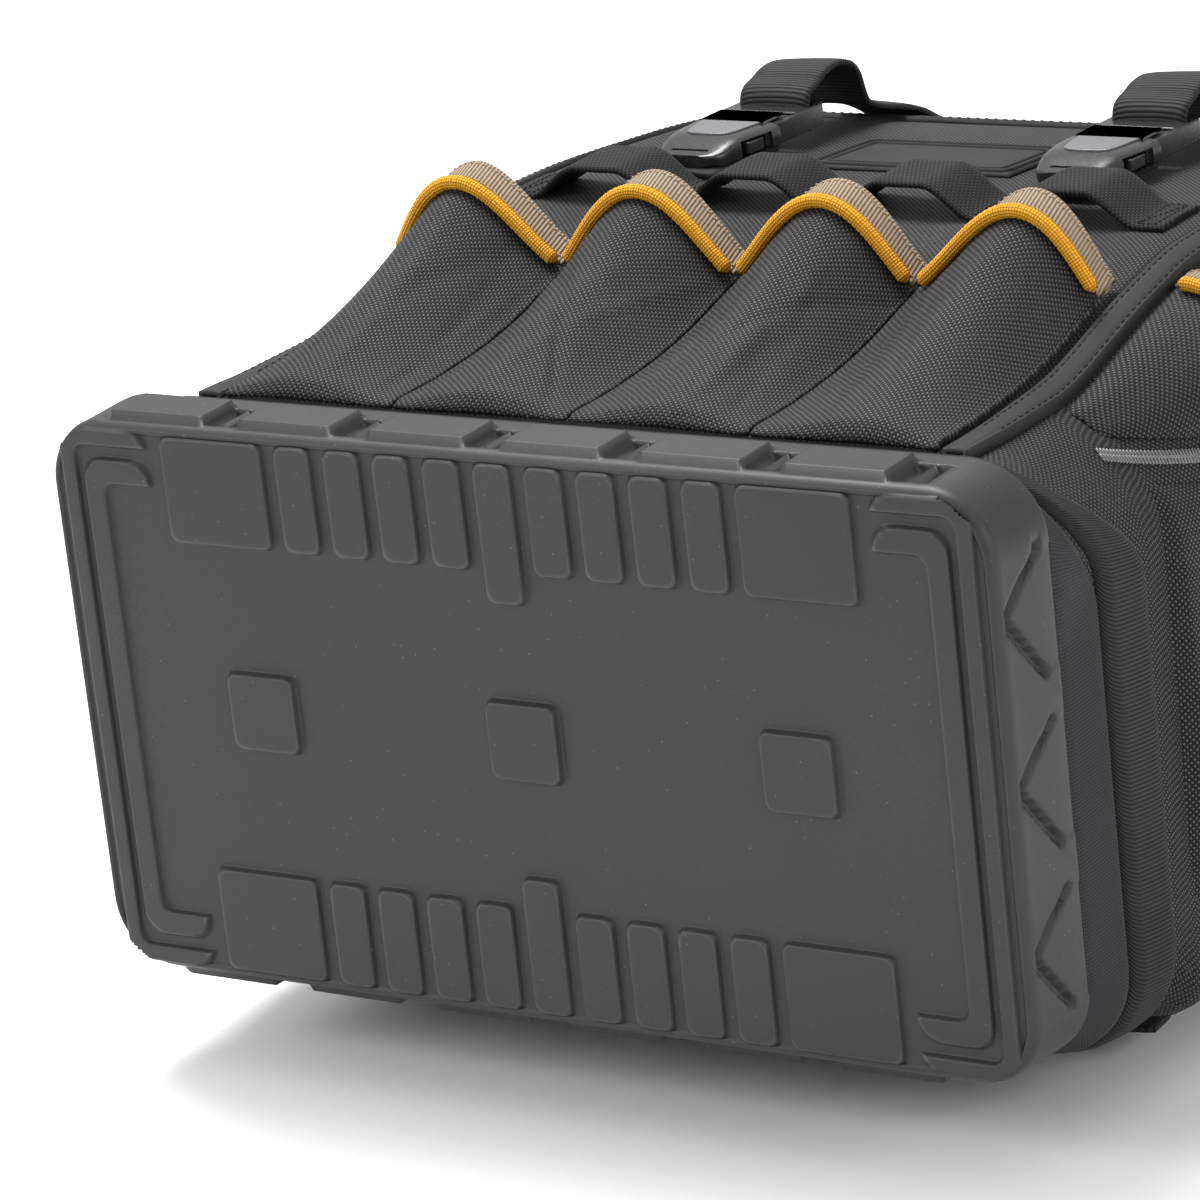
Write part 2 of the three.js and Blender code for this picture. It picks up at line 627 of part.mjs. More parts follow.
// Corner pockets between the panel tape and the side zip.
const CORNER_RIM = 172;
const CORNER_BULGE = 7;
const zipZ = (y) => FRONT_RISE * (0.426 + 0.232 * Math.exp((BAND_SEAM + 3 - y) / 70));
const cornerStart = BAND_SEAM + 11;
function cornerLine(y, open) {
  const s = section(y);
  const grown = Math.max((y - cornerStart) / (CORNER_RIM - cornerStart), 0);
  const high = Math.acos((tapeOut + 1.2 - (s.half - s.bend)) / s.bend);
  const low = Math.asin((zipZ(y) + 6 - (bagFront(y) - s.bend)) / s.bend);
  return Array.from({ length: 9 }, (_, k) => {
    const t = k / 8;
    const a = lerp(high, low, t);
    const r = s.bend + GAP + open * Math.sin(Math.PI * t) ** 0.8 * (1 + CORNER_BULGE * grown);
    return [s.half - s.bend + Math.cos(a) * r, bagFront(y) - s.bend + Math.sin(a) * r];
  });
}
const cornerYs = stations(cornerStart, CORNER_RIM - BINDING_WIDTH, [cornerStart + 4, cornerStart + 25]);
const cornerSheet = pocketSheet(cornerLine, cornerYs, GAP, GAP + CLOTH, true);
[['corner_pocket_right', false], ['corner_pocket_left', true]].forEach(([name, mirrored]) => {
  add(name, cornerSheet, 'cloth', mirrored);
  trims(name, cornerLine, CORNER_RIM, mirrored, (route) => route.slice(1, route.length - 1));
});

// Side zips: a raised coil strip along each side.
function sidePoint(y, z, grow) {
  const s = section(y);
  const level = z - (bagFront(y) - s.bend);
  if (level <= 0) return new THREE.Vector3(s.half + grow, y, z);
  const a = Math.asin(Math.min(level / s.bend, 1));
  const [cx, cz] = [s.half - s.bend, bagFront(y) - s.bend];
  return new THREE.Vector3(cx + Math.cos(a) * (s.bend + grow), y, cz + Math.sin(a) * (s.bend + grow));
}
const zipYs = stations(BAND_SEAM + 2, knots[10], [BAND_SEAM + 40, BAND_SEAM + 60]);
const zip = zipYs.map((y) => {
  const row = (grow, list) => list.map((dz) => sidePoint(y, zipZ(y) + dz, grow));
  return [...row(GAP * 2, [-4, 0, 4]), ...row(GAP * 2 + 2, [4, 0, -4])];
});
addPair('side_zip', loft(zip), 'plastic');

// Side pockets on the main body, below the zips.
const SIDE_POCKET = [94, 236];
const SIDE_BULGE = 12;
function sideLine(y, open) {
  const grown = smooth((y - SIDE_POCKET[0]) / (SIDE_POCKET[1] - SIDE_POCKET[0]) + 0.35);
  const [high, low] = [zipZ(y) - 7, -BACK_FALL * 0.66];
  return Array.from({ length: 12 }, (_, k) => {
    const t = k / 11;
    const z = lerp(high, low, t);
    return [sidePoint(y, z, GAP).x + open * Math.sin(Math.PI * t) ** 0.6 * SIDE_BULGE * grown, z];
  });
}
const sideYs = stations(SIDE_POCKET[0], SIDE_POCKET[1], [SIDE_POCKET[0] + 4, SIDE_POCKET[0] + 25]);
addPair('side_pocket', pocketSheet(sideLine, sideYs, GAP, GAP + CLOTH, true), 'cloth');

// Carrying side, hidden in the photograph: back pad, shoulder straps and grab handle.
function padded(outline, low, high, bevel) {
  const slab = new THREE.ExtrudeGeometry(new THREE.Shape(outline), {
    depth: high - low - bevel * 2,
    bevelThickness: bevel,
    bevelSize: bevel,
    bevelOffset: -bevel,
    bevelSegments: 2,
    curveSegments: 4,
  });
  slab.translate(0, 0, low + bevel);
  return unsolid(solid(slab));
}
const padLow = -BACK_FALL - GAP - PAD_THICK;
const padTop = knots[10] - 10;
const padHalf = PACK_WIDTH * 0.345;
add('back_pad', padded(roundedOutline(-padHalf, padHalf, BAND_SEAM + 2, padTop, 26, 4), padLow, -BACK_FALL - GAP, 4), 'smooth');

const STRAP_LINE = [
  { along: 0.865, across: 0.26, wide: 50 },
  { along: 0.76, across: 0.3, wide: 58 },
  { along: 0.62, across: 0.39, wide: 64 },
  { along: 0.49, across: 0.5, wide: 64 },
  { along: 0.41, across: 0.59, wide: 58 },
  { along: 0.345, across: 0.63, wide: 46 },
];
const strapSide = (sign) => STRAP_LINE.map((row) => {
  return new THREE.Vector2((row.across * PACK_WIDTH) / 2 + (sign * row.wide) / 2, row.along * PACK_LENGTH);
});
const strapOutline = [...strapSide(1), ...strapSide(-1).reverse()];
const strapLow = padLow - GAP - PAD_THICK;
addPair('shoulder_strap', padded(strapOutline.reverse(), strapLow, padLow - GAP, 3.5), 'smooth');

// Lower strap webbing and its sewn anchor tab beside the foot.
function strip(path, across, thick) {
  const rings = path.map(([x, y, z], i) => {
    const before = path[Math.max(i - 1, 0)];
    const after = path[Math.min(i + 1, path.length - 1)];
    const run = new THREE.Vector3(...after).sub(new THREE.Vector3(...before)).normalize();
    const side = new THREE.Vector3(...across).cross(run).normalize();
    const flat = run.clone().cross(side).normalize();
    const half = Math.hypot(...across) / 2;
    const at = new THREE.Vector3(x, y, z);
    return [[1, 1], [-1, 1], [-1, -1], [1, -1]].map(([a, b]) => {
      return at.clone().addScaledVector(flat, a * half).addScaledVector(side, (b * thick) / 2);
    });
  });
  return loft(rings);
}
const last = STRAP_LINE[STRAP_LINE.length - 1];
const strapFoot = [(last.across * PACK_WIDTH) / 2, last.along * PACK_LENGTH];
const anchorZ = -BACK_FALL - 1.8;
const anchorY = BAND_SEAM + 20;
const anchor = [[padHalf + 5, anchorY, anchorZ], [padHalf + 14, anchorY, anchorZ - 1], [padHalf + 23, anchorY, anchorZ - 2]];
addPair('strap_anchor', strip(anchor, [0, 30, 0], 2.6), 'smooth');
const lowerWeb = [
  [strapFoot[0], strapFoot[1] - GAP, padLow - GAP - WEBBING],
  [strapFoot[0], strapFoot[1] - 16, padLow - GAP - WEBBING],
  [padHalf + 10, anchorY + 22, padLow - GAP - WEBBING],
  [padHalf + 17, anchorY - 4, anchorZ - 6],
];
addPair('strap_webbing', strip(lowerWeb, [25, 0, 0], WEBBING), 'cloth');

// Grab handle on the top cap.
const top = section(PACK_LENGTH);
const capZ = (top.low + bagFront(PACK_LENGTH)) / 2;
const handle = [[-0.8, 0], [-0.5, 0], [-0.47, 14], [-0.3, 27], [0, 32], [0.3, 27], [0.47, 14], [0.5, 0], [0.8, 0]];
const handleLine = handle.map(([x, y]) => [x * top.half, PACK_LENGTH + GAP + 1.5 + y]);
const handleSides = [...moved(handleLine, 1.5), ...moved(handleLine, -1.5).reverse()];
const handleRings = [-11, 11].map((dz) => handleSides.map(([x, y]) => new THREE.Vector3(x, y, capZ + dz)));
add('grab_handle', loft(handleRings), 'smooth');

// The part stands with its centre over the origin and its lowest point on the ground plane.
const box = new THREE.Box3().setFromObject(part);
part.position.set(0, -(box.min.y + box.max.y) / 2, -box.min.z);
part.updateMatrixWorld(true);
export default part;
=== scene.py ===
import math
import random

import bpy
import numpy as np
from mathutils import Matrix, Vector


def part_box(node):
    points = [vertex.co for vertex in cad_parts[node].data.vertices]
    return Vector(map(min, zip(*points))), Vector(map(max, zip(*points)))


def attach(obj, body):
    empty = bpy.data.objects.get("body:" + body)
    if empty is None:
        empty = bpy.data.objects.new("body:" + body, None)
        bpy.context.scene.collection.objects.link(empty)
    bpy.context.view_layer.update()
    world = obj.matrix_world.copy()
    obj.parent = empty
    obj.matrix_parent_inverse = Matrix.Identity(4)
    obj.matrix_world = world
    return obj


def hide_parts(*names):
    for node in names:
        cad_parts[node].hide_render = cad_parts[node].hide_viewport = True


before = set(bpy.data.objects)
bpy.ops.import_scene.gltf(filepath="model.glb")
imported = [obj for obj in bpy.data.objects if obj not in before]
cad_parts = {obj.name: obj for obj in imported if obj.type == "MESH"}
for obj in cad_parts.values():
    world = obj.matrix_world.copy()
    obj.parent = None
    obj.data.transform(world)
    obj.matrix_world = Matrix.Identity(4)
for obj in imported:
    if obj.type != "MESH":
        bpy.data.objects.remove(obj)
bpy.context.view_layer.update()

# Where the pack lies and how it is seen. Everything below is measured from the moulded base:
# x across, y from its ground face to the top of the pack, z from its middle to the pockets.
tray_low, tray_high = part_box("base_tray")
tread_proud = 1.8
origin = np.array([0.0, tray_low[1] + tread_proud / 1000, (tray_low[2] + tray_high[2]) / 2])


def lie(points):
    """Millimetres from the base turned into metres where the pack lies."""
    return np.asarray(points, float) / 1000 + origin


camera_data = bpy.data.cameras.new("camera")
camera_data.sensor_width = 36
camera_data.lens = 175.57
camera_data.clip_end = 50
camera = bpy.data.objects.new("camera", camera_data)
bpy.context.scene.collection.objects.link(camera)
camera_right = (0.83007857, 0.54712514, -0.10781303)
camera_down = (0.08078846, -0.30928401, -0.94753186)
camera_ahead = (-0.55176335, 0.77781584, -0.30093142)
turn = Matrix([camera_right, [-v for v in camera_down], [-v for v in camera_ahead]]).transposed()
camera.matrix_world = Matrix.Translation(lie((945.4, -1287.4, 544.2))) @ turn.to_4x4()
bpy.context.scene.camera = camera

floor_material = bpy.data.materials.new("floor_paper")
floor_material.use_nodes = True
floor_shader = floor_material.node_tree.nodes["Principled BSDF"]
floor_shader.inputs["Base Color"].default_value = (0.95, 0.95, 0.95, 1)
floor_shader.inputs["Roughness"].default_value = 0.7
floor_mesh = bpy.data.meshes.new("floor")
floor_reach = 9.0
floor_corners = [(x * floor_reach, y * floor_reach, 0) for x, y in ((-1, -1), (1, -1), (1, 1), (-1, 1))]
floor_mesh.from_pydata(floor_corners, [], [(0, 1, 2, 3)])
floor = bpy.data.objects.new("floor", floor_mesh)
floor_mesh.materials.append(floor_material)
bpy.context.scene.collection.objects.link(floor)

world = bpy.data.worlds.new("studio")
world.use_nodes = True
world.node_tree.nodes["Background"].inputs["Color"].default_value = (1, 1, 1, 1)
world.node_tree.nodes["Background"].inputs["Strength"].default_value = 0.72
bpy.context.scene.world = world
bpy.context.scene.view_settings.view_transform = "Standard"


def softbox(name, place, aim, size, watts):
    """A square soft light that looks at a point, both in metres."""
    data = bpy.data.lights.new(name, "AREA")
    data.size = size
    data.energy = watts
    lamp = bpy.data.objects.new(name, data)
    bpy.context.scene.collection.objects.link(lamp)
    lamp.location = place
    lamp.rotation_euler = (Vector(aim) - Vector(place)).to_track_quat("-Z", "Y").to_euler()


softbox("overhead_light", (-0.5, 0.3, 1.9), (0, 0, 0.1), 0.9, 58)
softbox("front_light", (-1.3, -1.9, 1.3), (0, -0.2, 0.1), 0.8, 24)
softbox("right_light", (2.2, -0.3, 1.0), (0, 0, 0.1), 0.9, 16)

# Base tray: one thick cup of moulded rubber, satin, with a raised tread on its ground face,
# lugs along its rim and chevron grooves in its short walls. The bag is bonded into it.
tray_half = (tray_high[0] - tray_low[0]) * 500
tray_deep = 87.5
tray_flare = 2.0
tray_rim = 27.0
tray_corner = 21.0
ground_half = tray_half - tray_flare


def ramp(value, start, end):
    """0 before start, 1 after end, eased between them."""
    t = np.clip((np.asarray(value, float) - start) / (end - start), 0, 1)
    return t * t * (3 - 2 * t)


def from_box(x, z, x0, x1, z0, z1, r):
    """Distance outside a rounded rectangle, negative inside it."""
    dx = np.abs(x - (x0 + x1) / 2) - (x1 - x0) / 2 + r
    dz = np.abs(z - (z0 + z1) / 2) - (z1 - z0) / 2 + r
    return np.hypot(np.maximum(dx, 0), np.maximum(dz, 0)) + np.minimum(np.maximum(dx, dz), 0) - r


def finish_mesh(name, points, faces, uv=None):
    """A smooth object from points and faces, with one (u, v) for each point, all in millimetres."""
    mesh = bpy.data.meshes.new(name)
    mesh.from_pydata(lie(points).tolist(), [], [tuple(map(int, f)) for f in faces])
    mesh.validate()
    mesh.shade_smooth()
    if uv is not None:
        layer = mesh.uv_layers.new(name="cloth")
        corner = np.empty(len(mesh.loops), dtype=np.int32)
        mesh.loops.foreach_get("vertex_index", corner)
        layer.data.foreach_set("uv", np.asarray(uv, np.float32)[corner].ravel())
    piece = bpy.data.objects.new(name, mesh)
    bpy.context.scene.collection.objects.link(piece)
    return piece


def grid_faces(rows, cols, wrap=False, flip=False):
    """Four-sided faces of a grid of points, joined round its columns if it wraps."""
    last = cols if wrap else cols - 1
    r, c = np.meshgrid(np.arange(rows - 1), np.arange(last), indexing="ij")
    r, c = r.ravel(), c.ravel()
    n = (c + 1) % cols
    quads = np.stack([r * cols + c, r * cols + n, (r + 1) * cols + n, (r + 1) * cols + c], 1)
    return quads[:, ::-1] if flip else quads


def lengths(grid, axis):
    """Distance walked along one axis of a grid of points, counted from its middle."""
    step = np.linalg.norm(np.diff(grid, axis=axis), axis=2)
    walk = np.cumsum(step, axis=axis)
    walk = np.concatenate([np.zeros_like(np.take(walk, [0], axis)), walk], axis)
    return walk - np.take(walk, [walk.shape[axis] // 2], axis)


def sheet(name, grid, wrap=False, flip=False, thick=0.0):
    """A skin over a grid of points in millimetres, given its thickness inwards."""
    grid = np.asarray(grid, float)
    rows, cols = grid.shape[:2]
    uv = np.stack([lengths(grid, 1), lengths(grid, 0)], 2).reshape(-1, 2)
    piece = finish_mesh(name, grid.reshape(-1, 3), grid_faces(rows, cols, wrap, flip), uv)
    if thick:
        solid = piece.modifiers.new("thickness", "SOLIDIFY")
        solid.thickness = thick / 1000
        solid.offset = -1
    return piece


def joined(name, parts):
    """Several (points, faces) lists as one object."""
    points, faces, start = [], [], 0
    for some, quads in parts:
        points.append(np.asarray(some, float))
        faces += [tuple(int(i) + start for i in f) for f in quads]
        start += len(some)
    return finish_mesh(name, np.concatenate(points), faces)


def put_on(piece, material, slot, *nodes):
    """Gives a piece its finish, hangs it under the root body and hides the solids that it stands for."""
    piece.data.materials.append(material)
    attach(piece, "root")
    if nodes:
        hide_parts(*nodes)
    return piece


rib_wide, rib_pitch, rib_count = 13.2, 17.7, 4
rib_long, middle_rib_long, block_wide = 33.0, 42.5, 37.5
stud_half, stud_apart, pad_round = 12.2, 0.574, 3.2
tread_edge = tray_deep - 3
pads = []
for i in range(-rib_count, rib_count + 1):
    long = middle_rib_long if i == 0 else rib_long
    pads.append((i * rib_pitch - rib_wide / 2, i * rib_pitch + rib_wide / 2, tread_edge - long, tread_edge))
tread_half = (2 * rib_count + 1) * rib_pitch / 2 - (rib_pitch - rib_wide) / 2
block_from = tread_half + rib_pitch - rib_wide
pads.append((block_from, block_from + block_wide, tread_edge - rib_long, tread_edge))
pads.append((-block_from - block_wide, -block_from, tread_edge - rib_long, tread_edge))
pads += [(x0, x1, -z1, -z0) for x0, x1, z0, z1 in list(pads)]
for x in (-ground_half * stud_apart, 0, ground_half * stud_apart):
    pads.append((x - stud_half, x + stud_half, -stud_half, stud_half))
frames = [(ground_half - 13.5, tray_deep - 11.4, 7.5, 8.0), (ground_half - 5.5, tray_deep - 2.0, 5.5, 5.7)]
frame_tip = ground_half - 38


def tread(x, z):
    """How far the tread stands out from the ground face, 0 to 1."""
    d = np.full(np.shape(x), 50.0)
    for x0, x1, z0, z1 in pads:
        d = np.minimum(d, from_box(x, z, x0, x1, z0, z1, pad_round))
    for out_x, out_z, bar_x, bar_z in frames:
        outer = from_box(np.abs(x), z, frame_tip, out_x, -out_z, out_z, 7)
        inner = from_box(np.abs(x), z, -40, out_x - bar_x, bar_z - out_z, out_z - bar_z, 4)
        d = np.minimum(d, np.maximum(outer, -inner))
    return 1 - ramp(d, -0.75, 0.55)


def edge_lines(edges, low, high, most=5.0, least=0.34):
    """Grid lines that crowd at the given edges and fill the rest, between least and most apart."""
    near = (-3.4, -2.2, -1.4, -0.85, -0.5, -0.15, 0.2, 0.55, 1.2)
    marks = {low, high}
    for e in edges:
        marks |= {e + s * side for s in near for side in (-1, 1)}
    marks = sorted(round(m, 2) for m in marks if low <= m <= high)
    kept = [marks[0]]
    for m in marks[1:]:
        if m - kept[-1] < least:
            continue
        gap = m - kept[-1]
        count = math.ceil(gap / most)
        kept += [kept[-1] + gap * k / count for k in range(1, count + 1)]
    return np.array(kept)


bar_edges_x = {s * v for out, _, bar, _ in frames for v in (out, out - bar) for s in (-1, 1)}
bar_edges_z = {s * v for _, out, _, bar in frames for v in (out, out - bar) for s in (-1, 1)}
edges_x = {v for p in pads for v in p[:2]} | bar_edges_x | {-frame_tip, frame_tip}
edges_z = {v for p in pads for v in p[2:]} | bar_edges_z
bead_in = 1.6
plate_x = edge_lines(edges_x, -ground_half + bead_in, ground_half - bead_in)
plate_z = edge_lines(edges_z, -tray_deep + bead_in, tray_deep - bead_in)
px, pz = np.meshgrid(plate_x, plate_z, indexing="ij")
rise = tread(px, pz)
sag = 0.9 * np.cos(np.pi * px / (2 * ground_half)) * np.cos(np.pi * pz / (2 * tray_deep))
plate_y = sag * (1 - rise) + (-tread_proud) * rise + 0.25 * sag * rise
inside = from_box(px, pz, -ground_half, ground_half, -tray_deep, tray_deep, tray_corner)
plate = np.stack([px, plate_y, pz], 2).reshape(-1, 3)
plate_faces = grid_faces(len(plate_x), len(plate_z), flip=True)
plate_faces = plate_faces[inside.ravel()[plate_faces].max(axis=1) < -bead_in + 0.6]

wall_heights = [2.4, 3.4, 4.4, 5.4, 6.4, 7.4, 8.4, 9.4, 10.4, 11.4, 12.4, 13.4, 14.4, 15.4, 16.4]
wall_heights += [17.2, 17.7, 18.1, 18.5, 19.0, 20.0, 21.2, 22.4, 23.6, 24.8, 25.8]
wall_rows = [
    (-9.0, 0.9), (-4.6, 0.5), (-3.8, 0.2), (-3.2, -0.5), (-2.5, -0.9), (-1.8, -0.6),
    (-1.2, 0.0), (-0.7, 0.6), (-0.3, 1.3),
] + [(0.0, y) for y in wall_heights] + [
    (-0.2, 26.5), (-0.7, 26.9), (-1.4, 27.0), (-2.6, 26.9), (-3.1, 26.4),
    (-3.3, 25.0), (-3.3, 14.0), (-3.6, 4.5),
]
turn_x, turn_z = ground_half - tray_corner, tray_deep - tray_corner
straight_x = np.arange(-turn_x, turn_x + 0.1, 0.95)
straight_z = np.arange(-turn_z, turn_z + 0.1, 0.9)
corner_turn = np.linspace(0, 90, 16)[1:-1]


def round_corner(angles, z):
    """One rounded corner of the tray about its centre at height z: x, z, outward x, z and side."""
    turns = [(math.cos(a), math.sin(a)) for a in np.radians(angles)]
    return [(turn_x + tray_corner * c, z + tray_corner * s, c, s, "corner") for c, s in turns]


walk = [(x, tray_deep, 0.0, 1.0, "long") for x in straight_x]
walk += round_corner(90 - corner_turn, turn_z)
walk += [(ground_half, z, 1.0, 0.0, "short") for z in straight_z[::-1]]
walk += round_corner(-corner_turn, -turn_z)
walk += [(-x, -z, -nx, -nz, side) for x, z, nx, nz, side in walk]
wx, wz, wnx, wnz = (np.array([row[i] for row in walk]) for i in range(4))
on_long = np.array([row[4] == "long" for row in walk])
on_short = np.array([row[4] == "short" for row in walk])

notch_pitch, notch_wide, notch_shift, notch_deep = 47.0, 13.0, -5.0, 3.0
lug_from, lug_to, lug_proud = 2.7, 19.4, 2.6
chevron_pitch, chevron_foot, chevron_deep = 49.5, 2.2, 2.4
facet_deep = 0.35


def from_line(a, b, ax, ay, bx, by):
    """Distance of points (a, b) from a straight line between two points."""
    t = np.clip(((a - ax) * (bx - ax) + (b - ay) * (by - ay)) / ((bx - ax) ** 2 + (by - ay) ** 2), 0, 1)
    return np.hypot(a - ax - t * (bx - ax), b - ay - t * (by - ay))


def wall_relief(y):
    """How far the wall stands out along the whole walk at height y."""
    out = np.zeros(len(walk))
    span = ground_half - tray_corner * 0.6
    from_notch = np.abs((wx - notch_shift + notch_pitch / 2) % notch_pitch - notch_pitch / 2)
    within = min(y - lug_from, lug_to - y) + 1.0
    lug = ramp(np.minimum(within, from_notch - notch_wide / 2 + 0.4), 0, 0.9)
    out += on_long * lug * lug_proud * (1 - ramp(np.abs(wx), span - 1.5, span))
    web = ramp(from_notch, 0.4, 0.9) * (1 - ramp(from_notch, 5.0, 5.8))
    out -= on_long * web * ramp(y, 3.4, 4.6) * (1 - ramp(y, 17.6, 18.4)) * notch_deep
    for middle in (-chevron_pitch, 0.0, chevron_pitch):
        z = (wz - middle - 1.0) * np.sign(wx)
        z = np.where(wx > 0, z, -z)
        groove = np.minimum(
            from_line(z, y, 15, tray_rim * 0.74, 0, chevron_foot),
            from_line(z, y, 0, chevron_foot, -20, tray_rim * 0.7),
        )
        out -= on_short * (1 - ramp(groove, 1.3, 1.8)) * chevron_deep
        crease = from_line(z, y, -5.5, 3.2, -27, tray_rim * 0.92)
        out += on_short * (1 - ramp(crease, 0.2, 0.8)) * facet_deep
        inner = (z < 15) & (z > -20) & (y > chevron_foot + np.where(z > 0, z * 1.185, -z * 0.835))
        out -= on_short * inner * facet_deep
    return out


ring_points = []
for off, y in wall_rows:
    flare = tray_flare * ramp(y, 0, tray_rim)
    relief = wall_relief(y) * (1.0 if off > -1.0 else 0.0) if y > 2.5 else 0 * wx
    if off > -3.2 and y > 26.2:
        relief = wall_relief(24.8) * (1 + off / 3.2)
    grow = off + relief
    along_x = wx + wnx * grow + np.abs(wnx) * np.sign(wx) * flare
    along_z = wz + wnz * grow + np.abs(wnz) * np.sign(wz) * flare * 0.4
    ring_points.append(np.stack([along_x, np.full(len(walk), y), along_z], 1))
ring_grid = np.stack(ring_points)
ring_faces = grid_faces(len(wall_rows), len(walk), wrap=True, flip=True)
base_tray = joined("moulded_base", [(plate, plate_faces), (ring_grid.reshape(-1, 3), ring_faces)])


def material_for(name, rough):
    """A new material: the material, its node tree and its main shader."""
    made = bpy.data.materials.new(name)
    made.use_nodes = True
    tree = made.node_tree
    shader = tree.nodes["Principled BSDF"]
    shader.inputs["Roughness"].default_value = rough
    return made, tree, shader


def add_node(tree, kind, **values):
    """A node of that kind with its settings. A name that starts with in_ sets the input it names."""
    node = tree.nodes.new(kind)
    for key, value in values.items():
        if key.startswith("in_"):
            socket = key[3:]
            node.inputs[int(socket) if socket.isdigit() else socket].default_value = value
        else:
            setattr(node, key, value)
    return node


def math_node(tree, operation, a, b=None):
    """One sum: a and b are sockets or numbers."""
    node = add_node(tree, "ShaderNodeMath", operation=operation)
    for i, value in enumerate((a, b)):
        if value is None:
            continue
        if isinstance(value, (int, float)):
            node.inputs[i].default_value = value
        else:
            tree.links.new(value, node.inputs[i])
    return node.outputs[0]


def mask_node(tree, value, low, high):
    """0 where value is under low, 1 over high."""
    node = add_node(tree, "ShaderNodeMapRange", interpolation_type="SMOOTHSTEP")
    tree.links.new(value, node.inputs["Value"])
    node.inputs["From Min"].default_value = low
    node.inputs["From Max"].default_value = high
    return node.outputs["Result"]


def mix_colours(tree, factor, first, second):
    """first where factor is 0, second where it is 1: sockets or (r, g, b)."""
    node = add_node(tree, "ShaderNodeMix", data_type="RGBA")
    if isinstance(factor, (int, float)):
        node.inputs["Factor"].default_value = factor
    else:
        tree.links.new(factor, node.inputs["Factor"])
    for socket, colour in ((node.inputs[6], first), (node.inputs[7], second)):
        if isinstance(colour, tuple):
            socket.default_value = (*colour, 1)
        else:
            tree.links.new(colour, socket)
    return node.outputs[2]


def tinted(tree, tone, mask, share, colour):
    """Lays a colour over a tone by a mask, at most by that share."""
    return mix_colours(tree, math_node(tree, "MULTIPLY", mask, share), tone, colour)


def roughness_from(tree, shader, value, share, least):
    """Roughness that grows from its least value by a share of a socket."""
    rough = math_node(tree, "ADD", math_node(tree, "MULTIPLY", value, share), least)
    tree.links.new(rough, shader.inputs["Roughness"])


def bump_on(tree, shader, height, distance, strength):
    """Bumps a shader by a height socket, distance in millimetres."""
    bump = add_node(tree, "ShaderNodeBump")
    bump.inputs["Strength"].default_value = strength
    bump.inputs["Distance"].default_value = distance / 1000
    tree.links.new(height, bump.inputs["Height"])
    tree.links.new(bump.outputs["Normal"], shader.inputs["Normal"])


def group_of(name, inputs, outputs):
    """An empty node group with its sockets: (group, input node, output node)."""
    group = bpy.data.node_groups.new(name, "ShaderNodeTree")
    for socket, value in inputs.items():
        kind = "NodeSocketVector" if value is None else "NodeSocketFloat"
        made = group.interface.new_socket(name=socket, in_out="INPUT", socket_type=kind)
        if value is not None:
            made.default_value = value
    for socket in outputs:
        group.interface.new_socket(name=socket, in_out="OUTPUT", socket_type="NodeSocketFloat")
    return group, group.nodes.new("NodeGroupInput"), group.nodes.new("NodeGroupOutput")


def use_group(tree, group, vector, **values):
    """Places a group in a material, fed by a vector."""
    node = add_node(tree, "ShaderNodeGroup", node_tree=group)
    tree.links.new(vector, node.inputs["Vector"])
    for key, value in values.items():
        node.inputs[key].default_value = value
    return node


handling_inputs = {"Vector": None, "Broad Size": 9.0, "Fleck Size": 260.0}
handling, hin, hout = group_of("handling", handling_inputs, ("Broad", "Fine", "Fleck", "Dust"))
broad = add_node(handling, "ShaderNodeTexNoise", in_Detail=3.0, in_Roughness=0.55)
handling.links.new(hin.outputs["Vector"], broad.inputs["Vector"])
handling.links.new(hin.outputs["Broad Size"], broad.inputs["Scale"])
fine = add_node(handling, "ShaderNodeTexNoise", in_Scale=900.0, in_Detail=4.0, in_Roughness=0.7)
handling.links.new(hin.outputs["Vector"], fine.inputs["Vector"])
fleck = add_node(handling, "ShaderNodeTexVoronoi")
handling.links.new(hin.outputs["Vector"], fleck.inputs["Vector"])
handling.links.new(hin.outputs["Fleck Size"], fleck.inputs["Scale"])
fleck_cell = add_node(handling, "ShaderNodeSeparateColor")
handling.links.new(fleck.outputs["Color"], fleck_cell.inputs[0])
few = mask_node(handling, fleck_cell.outputs[0], 0.84, 0.9)
dot = mask_node(handling, fleck.outputs["Distance"], 0.16, 0.08)
spots = math_node(handling, "MULTIPLY", few, dot)
both = math_node(handling, "MULTIPLY", broad.outputs["Fac"], fine.outputs["Fac"])
dust = mask_node(handling, both, 0.26, 0.42)
for value, socket in zip((broad.outputs["Fac"], fine.outputs["Fac"], spots, dust), hout.inputs):
    handling.links.new(value, socket)

rubber, tree, shader = material_for("moulded_rubber", 0.5)
spot = add_node(tree, "ShaderNodeTexCoord")
worn = use_group(tree, handling, spot.outputs["Object"], **{"Broad Size": 7.0, "Fleck Size": 420.0})
tone = mix_colours(tree, worn.outputs["Broad"], (0.021, 0.021, 0.022), (0.031, 0.031, 0.0325))
tone = tinted(tree, tone, worn.outputs["Dust"], 0.3, (0.048, 0.048, 0.049))
tone = tinted(tree, tone, worn.outputs["Fleck"], 0.4, (0.17, 0.17, 0.17))
geometry = add_node(tree, "ShaderNodeNewGeometry")
worn_edge = mask_node(tree, geometry.outputs["Pointiness"], 0.515, 0.57)
tone = tinted(tree, tone, worn_edge, 0.6, (0.095, 0.095, 0.098))
# Painted shade: an occlusion mask darkens the rubber nearly to black in its grooves and hollows.
groove_occlusion = add_node(tree, "ShaderNodeAmbientOcclusion", samples=6, in_Distance=0.004)
painted_groove_shade = mask_node(tree, groove_occlusion.outputs["AO"], 0.82, 0.40)
tone = tinted(tree, tone, painted_groove_shade, 0.95, (0.002, 0.002, 0.0022))
tree.links.new(tone, shader.inputs["Base Color"])
roughness_from(tree, shader, worn.outputs["Broad"], 0.16, 0.40)
grain = math_node(tree, "ADD", worn.outputs["Fine"], math_node(tree, "MULTIPLY", worn.outputs["Fleck"], 1.5))
bump_on(tree, shader, grain, 0.05, 0.5)
